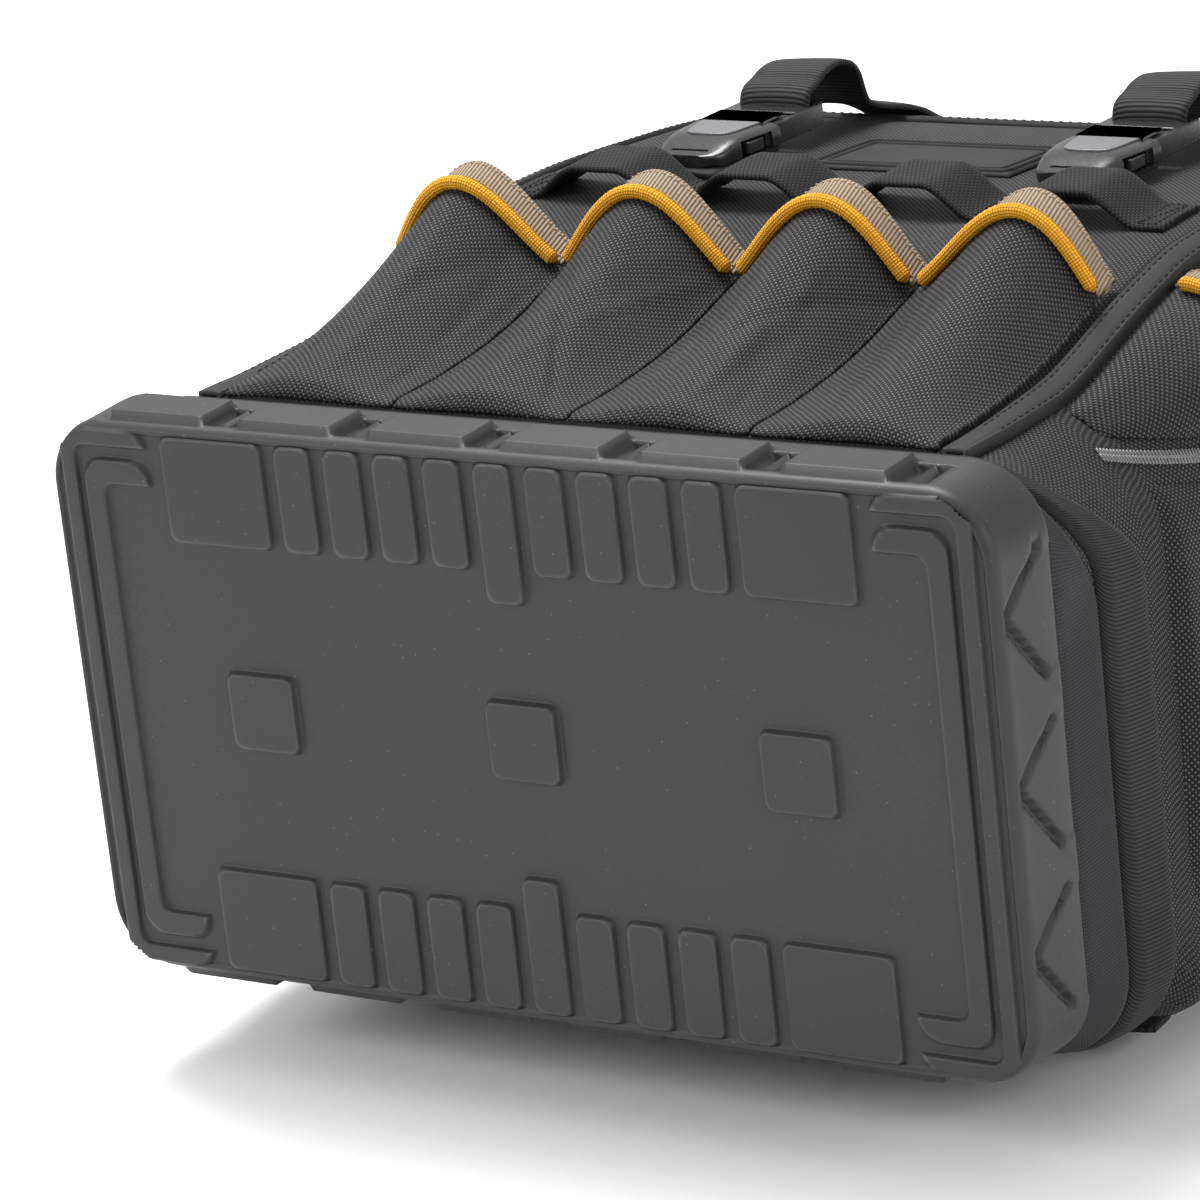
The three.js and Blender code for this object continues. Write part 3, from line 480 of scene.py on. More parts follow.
shader.inputs["Specular IOR Level"].default_value = 0.3
put_on(base_tray, rubber, "moulded_rubber", "base_tray")

# Foot bands: two strips of cloth sewn round the foot of the bag just above the tray's rim.
# The lower one is fine slate twill, the upper one ribbed webbing. Their seams drop at the front.
pack_long, pack_half = 450.0, 165.0
front_rise, back_fall = 108.0, 100.0
panel_thick, seam_gap = 4.0, 0.3
shape = np.array([  # along, half width, front, back as shares; front and back bend in millimetres
    (0.012, 0.948, 0.787, 0.76, 24, 20),
    (0.06, 0.966, 0.787, 0.81, 24, 20),
    (0.122, 0.97, 0.79, 0.97, 32, 26),
    (0.18, 0.974, 0.808, 1, 40, 28),
    (0.222, 0.972, 0.835, 1, 45, 28),
    (0.327, 0.976, 0.945, 1, 45, 28),
    (0.405, 0.98, 0.995, 1, 45, 28),
    (0.49, 0.98, 1, 1, 45, 28),
    (0.622, 0.974, 0.972, 1, 45, 28),
    (0.729, 0.955, 0.926, 1, 44, 28),
    (0.79, 0.93, 0.85, 0.995, 42, 28),
    (0.86, 0.87, 0.7, 0.98, 40, 30),
    (0.92, 0.775, 0.52, 0.94, 38, 34),
    (0.965, 0.64, 0.3, 0.86, 36, 36),
    (0.991, 0.47, 0.1, 0.72, 32, 32),
    (1, 0.33, -0.08, 0.55, 18, 18),
])
along, wide_at, front_at, back_at, bend_at, round_at = (
    shape.T * np.array([[pack_long], [pack_half], [front_rise], [-back_fall], [1], [1]])
)


def eased(at, values):
    """A smooth line through a table of values along the bag, which never overshoots them."""
    at = np.asarray(at, float)
    step = np.diff(values) / np.diff(along)
    slope = np.zeros(len(along))
    same = step[1:] * step[:-1] > 0
    total = np.where(same, step[1:] + step[:-1], 1)
    slope[1:-1] = np.where(same, 2 * step[1:] * step[:-1] / total, 0)
    slope[0], slope[-1] = step[0], step[-1]
    i = np.clip(np.searchsorted(along, at) - 1, 0, len(along) - 2)
    h = along[i + 1] - along[i]
    t = (at - along[i]) / h
    a, b = values[i], values[i + 1]
    first = (1 + 2 * t) * (1 - t) ** 2 * a + t * t * (3 - 2 * t) * b
    return first + h * t * (1 - t) * ((1 - t) * slope[i] - t * slope[i + 1])


def panel_top(y):
    """Height of the front panel's top along the middle of the pack."""
    return eased(y, front_at)


def bag_front(y):
    """Height of the bag's own front, under the panel."""
    return eased(y, front_at) - panel_thick - seam_gap


ring_counts = (40, 14, 34, 8, 34)


def bag_walk(y, counts=ring_counts):
    """Once round the bag at one height, from mid-front over its right side: x, z and outward x, z."""
    half, top, low = eased(y, wide_at), bag_front(y), eased(y, back_at)
    most = min(half - 1, (top - low) / 2 - 1)
    f, b = min(eased(y, bend_at), most), min(eased(y, round_at), most)
    out = []
    for t in np.linspace(0, 1, counts[0], endpoint=False):
        out.append((t * (half - f), top, 0, 1))
    for a in np.linspace(math.pi / 2, 0, counts[1], endpoint=False):
        out.append((half - f + f * math.cos(a), top - f + f * math.sin(a), math.cos(a), math.sin(a)))
    for t in np.linspace(0, 1, counts[2], endpoint=False):
        out.append((half, top - f + t * (low + b - top + f), 1, 0))
    for a in np.linspace(0, -math.pi / 2, counts[3], endpoint=False):
        out.append((half - b + b * math.cos(a), low + b + b * math.sin(a), math.cos(a), math.sin(a)))
    for t in np.linspace(0, 1, counts[4], endpoint=False):
        out.append(((1 - t) * (half - b), low, 0, -1))
    right = np.array(out)
    left = right[1:][::-1] * (-1, 1, -1, 1)
    middle = np.array([[0, low, 0, -1]])
    return np.concatenate([right, middle, left])


band_drop = 43.0
foot_seam, band_seam = 54.5, 80.0


def band_grid(y0, y1, rows, offset):
    """A strip round the bag between two seams; offset(v) is how far it stands out from 0 to 1 across it."""
    base = bag_walk(y0)
    front = ramp(base[:, 1], front_rise * 0.42, front_rise * 0.75)
    grid = []
    for v in np.linspace(0, 1, rows):
        y = y0 + v * (y1 - y0)
        share = (y - tray_rim) / (band_seam - tray_rim)
        ys = y - band_drop * front * share
        rings = {}
        points = np.empty((len(base), 3))
        for i, at in enumerate(ys):
            key = round(float(at), 1)
            if key not in rings:
                rings[key] = bag_walk(key)
            x, z, nx, nz = rings[key][i]
            points[i] = (x + nx * offset(v), at, z + nz * offset(v))
        grid.append(points)
    return np.array(grid)


def pillow(low, high, sharp=6.0):
    """Stands out between its two sewn edges."""
    return lambda v: low + (high - low) * min(1.0, sharp * min(v, 1 - v)) ** 0.5


foot_grid = band_grid(tray_rim + 0.3, foot_seam, 15, pillow(0.8, 2.7))
foot_band = sheet("foot_band_twill", foot_grid, wrap=True, flip=True, thick=0.8)
ribbed_grid = band_grid(foot_seam + 0.5, band_seam, 17, pillow(0.9, 3.3))
ribbed_band = sheet("ribbed_band_webbing", ribbed_grid, wrap=True, flip=True, thick=1.0)

weave_inputs = {"Vector": None, "Across": 1.1, "Along": 1.1}
weave, vin, vout = group_of("weave", weave_inputs, ("Crossing", "Height", "Ribs"))
split = add_node(weave, "ShaderNodeSeparateXYZ")
weave.links.new(vin.outputs["Vector"], split.inputs[0])
waves = []
for axis, socket in ((0, "Across"), (1, "Along")):
    turns = math_node(weave, "DIVIDE", split.outputs[axis], vin.outputs[socket])
    waves.append(math_node(weave, "SINE", math_node(weave, "MULTIPLY", turns, math.pi)))
cross = math_node(weave, "MULTIPLY", waves[0], waves[1])
weave.links.new(mask_node(weave, cross, 0.15, 0.8), vout.inputs["Crossing"])
weave.links.new(math_node(weave, "SQRT", math_node(weave, "ABSOLUTE", cross)), vout.inputs["Height"])
weave.links.new(math_node(weave, "ABSOLUTE", waves[0]), vout.inputs["Ribs"])


def woven(name, dark, light, pitch, rough=0.8, ribbed=False, depth=0.25, by_place=False):
    """Cloth whose raised yarns are painted lighter than the yarn between them, as painted highlight on their
    crowns, with uneven dye, dust and a soft sheen.

    Its pitch across and along and its depth are in millimetres. by_place lays it without a layout of its own.
    """
    made, tree, shader = material_for(name, rough)
    spot = add_node(tree, "ShaderNodeTexCoord")
    lay = spot.outputs["UV"]
    if by_place:
        mm = add_node(tree, "ShaderNodeVectorMath", operation="SCALE", in_Scale=1000.0)
        tree.links.new(spot.outputs["Object"], mm.inputs[0])
        lay = mm.outputs[0]
    yarn = use_group(tree, weave, lay, Across=pitch[0], Along=pitch[1])
    worn = use_group(tree, handling, spot.outputs["Object"], **{"Broad Size": 14.0})
    raised = yarn.outputs["Ribs" if ribbed else "Crossing"]
    dimmer_crown_highlight, brighter_crown_highlight = tuple(c * 0.7 for c in light), tuple(c * 1.25 for c in light)
    dusty = tuple(min(c * 1.6 + 0.02, 1.0) for c in light)
    # Painted highlight: raised yarns take the lighter colour, the yarn between them the darker.
    tone = mix_colours(tree, raised, dark, mix_colours(tree, worn.outputs["Fine"], dimmer_crown_highlight, brighter_crown_highlight))
    tone = tinted(tree, tone, worn.outputs["Broad"], 0.35, dark)
    tone = tinted(tree, tone, worn.outputs["Dust"], 0.12, dusty)
    tree.links.new(tone, shader.inputs["Base Color"])
    gloss = math_node(tree, "SUBTRACT", rough + 0.08, math_node(tree, "MULTIPLY", raised, 0.22))
    tree.links.new(gloss, shader.inputs["Roughness"])
    fuzz = math_node(tree, "MULTIPLY", worn.outputs["Fine"], 0.35)
    height = math_node(tree, "ADD", yarn.outputs["Ribs" if ribbed else "Height"], fuzz)
    bump_on(tree, shader, height, depth, 0.8)
    shader.inputs["Sheen Weight"].default_value = 0.03
    shader.inputs["Sheen Roughness"].default_value = 0.4
    shader.inputs["Specular IOR Level"].default_value = 0.25
    return made


twill = woven("slate_twill", (0.014, 0.014, 0.016), (0.052, 0.053, 0.058), (0.55, 0.9))
put_on(foot_band, twill, "smooth_cloth", "foot_band")
webbing_dark, webbing_light = (0.002, 0.002, 0.0025), (0.022, 0.022, 0.024)
webbing_black = woven("black_webbing", webbing_dark, webbing_light, (1.3, 0.8), ribbed=True, depth=0.4)
put_on(ribbed_band, webbing_black, "black_webbing", "ribbed_band")

# Bag: a soft hollow shell of coated ballistic cloth, rounder at the front, closed by a domed top.
# It sags a little between its seams, so its sides and top are never quite flat.
random.seed(7)
swell_ranges = ((90, 420), (0, 2 * math.pi), (26, 60), (-1.6, 1.2))
swell_spots = [[random.uniform(*both_ends) for both_ends in swell_ranges] for _ in range(46)]


def sag_of(y, turn):
    """Soft dents and swells of the shell at height y and turn round it."""
    out = np.zeros(np.shape(turn))
    for at, angle, size, deep in swell_spots:
        off = np.minimum(np.abs(turn - angle), 2 * math.pi - np.abs(turn - angle)) * 130
        out += deep * np.exp(-(((y - at) / size) ** 2) - (off / (size * 0.8)) ** 2)
    return out


def pushed_in(y, nx, nz):
    """The shell's left front corner is pushed in beside the pockets. Its back corners sag out."""
    corner = 4 * np.minimum(nx, 0) ** 2 * np.maximum(nz, 0) ** 2
    slack = 4 * nx**2 * np.minimum(nz, 0) ** 2
    dented = 9.0 * corner * ramp(y, 70, 130) * (1 - ramp(y, 230, 300))
    return dented - 8.0 * slack * ramp(y, 80, 96) * (1 - ramp(y, 360, 430))


shell_rows = []
for y in np.concatenate([np.arange(5.4, 440, 3.6), [441, 443.5, 446, 448, 449.3]]):
    ring = bag_walk(float(y))
    turn = np.arange(len(ring)) / len(ring) * 2 * math.pi
    free = ramp(y, 84, 120) * (1 - ramp(y, 425, 447))
    covered = (ring[:, 3] > 0.9) * (y < 345)
    grow = sag_of(y, turn) * free * (1 - covered) - 0.2 - pushed_in(y, ring[:, 2], ring[:, 3])
    out_x, out_z = ring[:, 0] + ring[:, 2] * grow, ring[:, 1] + ring[:, 3] * grow
    shell_rows.append(np.stack([out_x, np.full(len(ring), y), out_z], 1))
last = shell_rows[-1]
middle = last.mean(axis=0)
for share, y in ((0.86, 449.8), (0.5, 450.3), (0.02, 450.5)):
    cap = middle + (last - middle) * share
    cap[:, 1] = y
    shell_rows.append(cap)
bag_shell = sheet("bag_body", np.array(shell_rows), wrap=True, flip=True, thick=1.6)
ballistic_dark, ballistic_light = (0.0015, 0.0015, 0.002), (0.078, 0.078, 0.084)
ballistic = woven("ballistic_cloth", ballistic_dark, ballistic_light, (1.0, 1.0), rough=0.62, depth=0.3)
put_on(bag_shell, ballistic, "ballistic_cloth", "bag_shell")

# Front panel: a padded sheet that carries the pockets and loops, bound on three sides
# with a smooth folded tape that is lockstitched along both edges.
panel_half, tape_wide, pocket_start, panel_end = 125.2, 9.0, 38.5, 328.0


def crown(x, y):
    """How far the bag falls away from its flat front at x."""
    bend = eased(y, bend_at)
    past = np.maximum(np.abs(x) - (eased(y, wide_at) - bend), 0)
    return np.sqrt(np.maximum(bend**2 - past**2, 0)) - bend


def over_bag(xs, ys, lift):
    """A grid over the front of the bag. lift(x, y) is its height over the panel's top."""
    gx, gy = np.meshgrid(xs, ys)
    return np.stack([gx, gy, panel_top(gy) + crown(gx, gy) + lift(gx, gy)], 2)


panel_xs = np.linspace(-panel_half, panel_half, 121)
panel_ys = np.arange(pocket_start, panel_end + 0.1, 2.7)


def quilt(x, y):
    """The panel's padding: soft swells that pull in at its sewn edges."""
    edge = np.minimum(panel_half - np.abs(x), panel_end - y)
    return -0.9 * np.exp(-edge / 5) + 0.35 * np.sin(x / 21 + 1) * np.sin(y / 26) * ramp(edge, 4, 18)


front_panel = sheet("front_panel_cloth", over_bag(panel_xs, panel_ys, quilt), thick=3.4)
put_on(front_panel, ballistic, "ballistic_cloth", "front_panel")


def tape_lift(inner, outer, axis):
    """A folded tape: flat, with rounded edges and a shallow sewn dent near each."""

    def lift(x, y):
        v = ((np.abs(x) if axis == 0 else y) - inner) / (outer - inner)
        fold = -3.2 * (np.maximum(0, np.abs(v - 0.5) - 0.42) / 0.08) ** 2
        dent = -0.35 * np.exp(-(((np.abs(v - 0.5) - 0.3) / 0.05) ** 2))
        return 0.9 + fold + dent

    return lift


tape_out = panel_half + seam_gap + tape_wide
tape_ys = np.arange(pocket_start, panel_end + 0.1, 2.2)
both_sides = (("right", 1), ("left", -1))
tape_dark, tape_light = (0.010, 0.010, 0.011), (0.022, 0.022, 0.024)
smooth_tape = woven("folded_tape", tape_dark, tape_light, (0.42, 0.42), rough=0.55, depth=0.08)
for side, sign in both_sides:
    xs = np.sort(sign * np.linspace(panel_half + seam_gap, tape_out, 17))
    side_lift = tape_lift(panel_half + seam_gap, tape_out, 0)
    tape = sheet("edge_tape_" + side + "_fold", over_bag(xs, tape_ys, side_lift), thick=2.0)
    put_on(tape, smooth_tape, "edge_tape", "edge_tape_" + side)
top_xs = np.linspace(-tape_out, tape_out, 121)
top_ys = np.linspace(panel_end + seam_gap, panel_end + seam_gap + tape_wide, 15)
top_lift = tape_lift(top_ys[0], top_ys[-1], 1)
tape = sheet("edge_tape_top_fold", over_bag(top_xs, top_ys, top_lift), thick=2.0)
put_on(tape, smooth_tape, "edge_tape", "edge_tape_top")


def stitches(name, lines, material, long=2.2, gap=1.3, thick=0.3, slot="black_webbing"):
    """Lockstitch along lines of points: one short raised thread after another, dipping at both ends."""
    parts = []
    for line in lines:
        line = np.asarray(line, float)
        step = np.linalg.norm(np.diff(line, axis=0), axis=1)
        walked = np.concatenate([[0], np.cumsum(step)])
        for start in np.arange(gap, walked[-1] - long, long + gap):
            ts = start + np.linspace(0, 1, 4) * long
            path = np.stack([np.interp(ts, walked, line[:, k]) for k in range(3)], 1)
            run = path[-1] - path[0]
            run /= np.linalg.norm(run)
            up = np.array([0.0, 0.0, 1.0]) if abs(run[2]) < 0.85 else np.array([1.0, 0.0, 0.0])
            side = np.cross(run, up)
            side /= np.linalg.norm(side)
            up = np.cross(side, run)
            ring = []
            for p, fat, lift in zip(path, (0.35, 1, 1, 0.35), (-0.12, 0.1, 0.1, -0.12)):
                for a in np.arange(5) * 2 * math.pi / 5:
                    high = up * (lift + thick * fat * math.sin(a))
                    ring.append(p + high + side * thick * fat * math.cos(a))
            faces = [tuple(f) for f in grid_faces(4, 5, wrap=True)]
            parts.append((ring, faces + [tuple(range(5))[::-1], tuple(range(15, 20))]))
    return put_on(joined(name, parts), material, slot)


def seam_on_tape(xs, ys):
    """A seam line lying on the folded tape."""
    return np.stack([xs, ys, panel_top(ys) + crown(xs, ys) + 0.75], 1)


thread_dark, thread_light = (0.012, 0.012, 0.013), (0.07, 0.07, 0.075)
thread = woven("dark_thread", thread_dark, thread_light, (0.3, 0.3), by_place=True, depth=0.05)
tape_seams = []
for sign in (-1, 1):
    for x in (panel_half + 2.1, tape_out - 1.8):
        ys = np.arange(pocket_start + 20, panel_end, 3.0)
        tape_seams.append(seam_on_tape(np.full(len(ys), sign * x), ys))
for y in (top_ys[0] + 1.8, top_ys[-1] - 1.8):
    xs = np.linspace(-tape_out + 3, tape_out - 3, 90)
    tape_seams.append(seam_on_tape(xs, np.full(len(xs), y)))
stitches("edge_tape_stitching", tape_seams, thread)

# Four pleated tool pockets: each is one sheet of ballistic cloth, gathered to a sewn foot on both
# sides and a closed sole, arched open at its rim. Ribbed tan tape binds the rim over a gold piping.
pocket_pitch, pocket_rim, pocket_bulge, cloth = 62.3, 147.0, 24.5, 1.8
binding_wide, piping_thick = 11.0, 5.6
pocket_half = pocket_pitch / 2 - 0.15


def off_line(at, v, step, out, y, low=-math.inf, high=math.inf):
    """Points of the line at(v) moved out along its normal, at height y up the pack."""
    here = at(v)
    run = at(np.clip(v + step, low, high)) - at(np.clip(v - step, low, high))
    run /= np.linalg.norm(run, axis=-1, keepdims=True)
    x, z = here[..., 0] - run[..., 1] * out, here[..., 1] + run[..., 0] * out
    return np.stack([x, np.full(np.shape(v), y), z], -1)


def arch(middle, y, u, lift):
    """A point on a pocket: u runs -1 to 1 across it, lift is the distance out from its inner face."""
    grown = max((y - pocket_start) / (pocket_rim - pocket_start), 0.0) ** 0.85
    high = pocket_bulge * grown + cloth * 1.2
    lean = math.copysign(0.2 if abs(middle) > pocket_pitch else 0.05, middle)

    def at(v):
        at_crest = np.clip((v - lean) / (1 - lean * v), -1, 1)
        share = (0.5 + 0.5 * np.cos(np.pi * at_crest)) ** 0.62
        return np.stack([middle + v * (pocket_half - 2.0), panel_top(y) + share * high], -1)

    return off_line(at, u, 0.01, lift, y)


def pocket_creases(k, y, u):
    """Folds of a used pocket: long soft creases that run up from the sole to the rim."""
    rng = random.Random(31 + k)
    out = np.zeros(np.shape(u))
    fade = ramp(y, pocket_start, pocket_start + 22) * (1 - 0.75 * ramp(y, 118, 138))
    for _ in range(9):
        foot, head = rng.uniform(-0.9, 0.9), rng.uniform(-0.85, 0.85)
        size, deep = rng.uniform(0.05, 0.16), rng.uniform(-0.75, 0.6)
        at = foot + (head - foot) * (y - pocket_start) / 80
        out += deep * np.exp(-(((u - at) / size) ** 2))
    return out * fade


across = np.concatenate([[-1.05], np.linspace(-1, 1, 61), [1.05]])
tan_dark, tan_light = (0.085, 0.060, 0.038), (0.36, 0.275, 0.19)
tan_ribs = woven("tan_ribbed_tape", tan_dark, tan_light, (1.3, 2.4), rough=0.75, ribbed=True, depth=0.5)
gold_knit, tree, shader = material_for("gold_knit", 0.7)
spot = add_node(tree, "ShaderNodeTexCoord")
knit = use_group(tree, weave, spot.outputs["UV"], Across=0.9, Along=0.95)
worn = use_group(tree, handling, spot.outputs["Object"])
# Painted highlight: the raised knit is painted a brighter gold than its hollows.
tone = mix_colours(tree, knit.outputs["Height"], (0.24, 0.085, 0.001), (0.84, 0.36, 0.006))
tone = tinted(tree, tone, worn.outputs["Fine"], 0.3, (0.90, 0.50, 0.04))
tree.links.new(tone, shader.inputs["Base Color"])
gloss = math_node(tree, "SUBTRACT", 0.85, math_node(tree, "MULTIPLY", knit.outputs["Height"], 0.25))
tree.links.new(gloss, shader.inputs["Roughness"])
bump_on(tree, shader, knit.outputs["Height"], 0.5, 0.9)
shader.inputs["Specular IOR Level"].default_value = 0.25
stitch_dark, stitch_light = (0.30, 0.24, 0.17), (0.62, 0.52, 0.40)
tan_thread = woven("tan_thread", stitch_dark, stitch_light, (0.3, 0.3), by_place=True, depth=0.05)


def tube(name, path, radius, sides=12, knobs=0.16, pitch=1.9):
    """A round cord along points in millimetres, closed at both ends, with the slanting knobs of a knit."""
    path = np.asarray(path, float)
    step = np.linalg.norm(np.diff(path, axis=0), axis=1)
    walked = np.concatenate([[0], np.cumsum(step)])
    count = max(int(walked[-1] / 0.62), 8)
    ts = np.linspace(0, walked[-1], count)
    path = np.stack([np.interp(ts, walked, path[:, k]) for k in range(3)], 1)
    runs = np.gradient(path, axis=0)
    runs /= np.linalg.norm(runs, axis=1, keepdims=True)
    side = np.cross(runs[0], (0.0, 1.0, 0.0))
    side /= np.linalg.norm(side)
    points, uv = [], []
    for i, (p, run) in enumerate(zip(path, runs)):
        side = side - run * np.dot(side, run)
        side /= np.linalg.norm(side)
        up = np.cross(run, side)
        close = min(1.0, 0.25 + 0.75 * min(i, count - 1 - i) / 3)
        for k in range(sides):
            a = 2 * math.pi * k / sides
            knob = abs(math.sin(math.pi * (ts[i] / pitch + k / sides * 2)))
            r = radius * close * (1 + knobs * knob)
            points.append(p + side * r * math.cos(a) + up * r * math.sin(a))
            uv.append((ts[i], a * radius))
    faces = [tuple(f) for f in grid_faces(count, sides, wrap=True)]
    faces += [tuple(range(sides))[::-1], tuple(range((count - 1) * sides, count * sides))]
    return finish_mesh(name, points, faces, uv)


def bound_rim(name, line_at, rim, side_steps):
    """Binding and piping along a pocket's rim. line_at(y, out) gives the rim's points in order."""
    low = rim - binding_wide
    profile = [
        (low + 0.2, cloth + 0.35), (low, cloth + 0.9), (low + 0.5, cloth + 1.15),
        (low + 2.0, cloth + 1.05), (low + 3.0, cloth + 1.2), (rim - 2.5, cloth + 1.25),
        (rim - 0.9, cloth + 1.0), (rim, cloth + 0.35), (rim + 0.15, cloth * 0.5),
        (rim - 0.3, 0.2), (rim - 6, 0.12),
    ]
    binding = sheet(name + "_tape", np.array([line_at(y, out) for y, out in profile]))
    put_on(binding, tan_ribs, "tan_binding", name + "_binding")
    cord_half = piping_thick * 0.37
    cord_line = line_at(low - cord_half - 0.1, cloth + 0.5 + cord_half)[side_steps:-side_steps]
    put_on(tube(name + "_cord", cord_line, cord_half), gold_knit, "gold_piping", name + "_piping")
    return [line_at(low + 2.0, cloth + 1.2), line_at(rim - 2.4, cloth + 1.35)]


rim_seams = []
sole_ys = pocket_start + np.array([0, 1.5, 3])
wall_ys = np.arange(pocket_start + 5, pocket_rim - binding_wide + 2, 1.9)
for k in range(4):
    middle = (k - 1.5) * pocket_pitch
    rows = []
    for y in np.concatenate([sole_ys, wall_ys]):
        shut = ramp(y, pocket_start - 1, pocket_start + 4)
        lift = cloth + seam_gap + pocket_creases(k, y, across)
        row = arch(middle, float(y), across, lift)
        row[:, 2] = (panel_top(y) + 0.6) * (1 - shut) + row[:, 2] * shut
        rows.append(row)
    pocket = sheet(f"pocket_{k + 1}_cloth", np.array(rows), thick=1.5)
    put_on(pocket, ballistic, "ballistic_cloth", f"pocket_{k + 1}")
    u = np.linspace(-1, 1, 75)
    rim_seams += bound_rim(f"pocket_{k + 1}", lambda y, out: arch(middle, y, u, out), pocket_rim, 3)
stitches("rim_stitching", rim_seams, tan_thread, long=1.5, gap=0.9, thick=0.26, slot="tan_binding")

# Tool loops: one flat woven elastic, 25 mm wide, sewn down to the panel between four raised
# loops that hold tool handles. Each sewn foot has a box of stitches.
loop_start, loop_wide, loop_pitch, loop_bulge = 186.0, 25.0, 56.0, 10.0


def loop_height(x):
    """Height of the elastic over the panel along the band."""
    out = np.zeros(np.shape(x))
    for k in range(4):
        off = np.abs(x - (k - 1.5) * loop_pitch)
        out = np.maximum(out, loop_bulge * (1 - ramp(off, 7.5, 24.5)) ** 0.8)
    return out


loop_xs = np.linspace(-118.0, 118.0, 260)
rows = []
for v in np.linspace(0, 1, 13):
    y = loop_start + v * loop_wide
    lip = -0.35 * (abs(v - 0.5) * 2) ** 6
    flare = 0.8 * (v - 0.5)
    high = loop_height(loop_xs) * (1 + 0.05 * flare) + 1.9 + lip
    rows.append(np.stack([loop_xs, np.full(len(loop_xs), y), panel_top(y) + high], 1))
elastic = woven("black_elastic", webbing_dark, (0.018, 0.018, 0.020), (0.75, 1.5), rough=0.75)
tool_loops = sheet("tool_loop_elastic", np.array(rows), thick=1.5)
put_on(tool_loops, elastic, "black_elastic", "tool_loops")
box_lines = []
for x in [(k - 2) * loop_pitch for k in range(5)]:
    x0, x1 = max(x - 3.0, -116.5), min(x + 3.0, 116.5)
    y0, y1 = loop_start + 2, loop_start + loop_wide - 2
    corners = [(x0, y0), (x1, y0), (x1, y1), (x0, y1), (x0, y0), (x1, y1)]
    line = []
    for (ax, ay), (bx, by) in zip(corners, corners[1:]):
        for t in np.linspace(0, 1, 12):
            x_at, y_at = ax + t * (bx - ax), ay + t * (by - ay)
            line.append((x_at, y_at, panel_top(y_at) + loop_height(np.array(x_at)) + 2.05))
    box_lines.append(line)
stitches("loop_stitching", box_lines, thread, long=1.7, gap=0.7, thick=0.24, slot="black_elastic")

# Badge: a bare patch of fine cloth sewn to the panel above the loops. It carries two raised
# welded outlines, one inside the other, and nothing else.
badge_half, badge_from, badge_to = 38.0, 236.0, 278.0
patch_xs = np.linspace(-badge_half, badge_half, 61)
patch_ys = np.linspace(badge_from, badge_to, 35)


def patch_lift(x, y):
    """The patch is thin at its sewn edge and swells a little inside it."""
    edge = np.minimum(badge_half - np.abs(x), np.minimum(y - badge_from, badge_to - y))
    return 1.5 - 0.9 * np.exp(-edge / 0.7) + 0.25 * np.exp(-(((edge - 12) / 7) ** 2))


patch_dark, patch_light = (0.006, 0.006, 0.007), (0.024, 0.024, 0.026)
patch_cloth = woven("patch_cloth", patch_dark, patch_light, (0.5, 0.5), rough=0.6, depth=0.1)
patch = sheet("badge_patch_cloth", over_bag(patch_xs, patch_ys, patch_lift), thick=1.2)
put_on(patch, patch_cloth, "smooth_cloth", "badge_patch")


def rounded_plan(x0, x1, y0, y1, r, steps=6):
    """A rounded rectangle in plan, walked once round."""
    out = []
    centres = ((x1 - r, y1 - r, 0), (x0 + r, y1 - r, 90), (x0 + r, y0 + r, 180), (x1 - r, y0 + r, 270))
    for cx, cy, start in centres:
        for a in np.radians(start + np.linspace(0, 90, steps)):
            out.append((cx + r * math.cos(a), cy + r * math.sin(a)))
    return out


def outline_ring(name, inset, wide, high):
    """A raised welded line round the patch with rounded corners."""
    rows = []
    for out, up in ((0, -0.3), (0.1, high * 0.7), (0.45, high), (0.55, high), (0.9, high * 0.7), (1, -0.3)):
        edge = inset + out * wide
        half = badge_half - edge
        ring = np.array(rounded_plan(-half, half, badge_from + edge, badge_to - edge, 4.0 - edge * 0.3, 9))
        rows.append(np.stack([ring[:, 0], ring[:, 1], panel_top(ring[:, 1]) + 1.55 + up], 1))
    return sheet(name, np.array(rows), wrap=True)


for ring_name, inset, wide, high in (("outer", 1.5, 1.7, 0.9), ("inner", 5.2, 1.2, 0.7)):
    line = outline_ring("badge_" + ring_name + "_line", inset, wide, high)
    put_on(line, patch_cloth, "smooth_cloth", "badge_outline_" + ring_name)

# Side-release buckles: glossy moulded plastic, fastened. The socket has a flat top, painted lighter grey as
# painted highlight, a sloping nose and open side windows; the plug carries two prongs and a ladder of three
# bars for the webbing.
buckle_x, buckle_from, buckle_half, buckle_thick = 69.0, 216.0, 16.5, 9.0
web_wide, web_thick = 25.0, 1.8
buckle_low = panel_top(buckle_from) + web_thick + seam_gap * 2.5
buckle_high = buckle_low + buckle_thick
socket_to, plug_to = buckle_from + 32.0, buckle_from + 63.0


def plastic_of(name, dark, light):
    """Glossy moulded plastic, uneven and rubbed pale along its edges."""
    made, tree, shader = material_for(name, 0.28)
    spot = add_node(tree, "ShaderNodeTexCoord")
    worn = use_group(tree, handling, spot.outputs["Object"], **{"Broad Size": 40.0, "Fleck Size": 500.0})
    tone = mix_colours(tree, worn.outputs["Broad"], dark, light)
    geometry = add_node(tree, "ShaderNodeNewGeometry")
    worn_edge = mask_node(tree, geometry.outputs["Pointiness"], 0.53, 0.62)
    tone = tinted(tree, tone, worn_edge, 0.6, (0.13, 0.13, 0.135))
    tree.links.new(tone, shader.inputs["Base Color"])
    roughness_from(tree, shader, worn.outputs["Fine"], 0.22, 0.16)
    bump_on(tree, shader, worn.outputs["Fine"], 0.02, 0.4)
    return made


plastic = plastic_of("black_plastic", (0.010, 0.010, 0.011), (0.020, 0.020, 0.022))
# A lighter grey copy of the black plastic: painted highlight for the glossy top of the socket.
painted_highlight_plastic = plastic_of("black_plastic_painted_highlight", (0.085, 0.085, 0.090), (0.13, 0.13, 0.137))


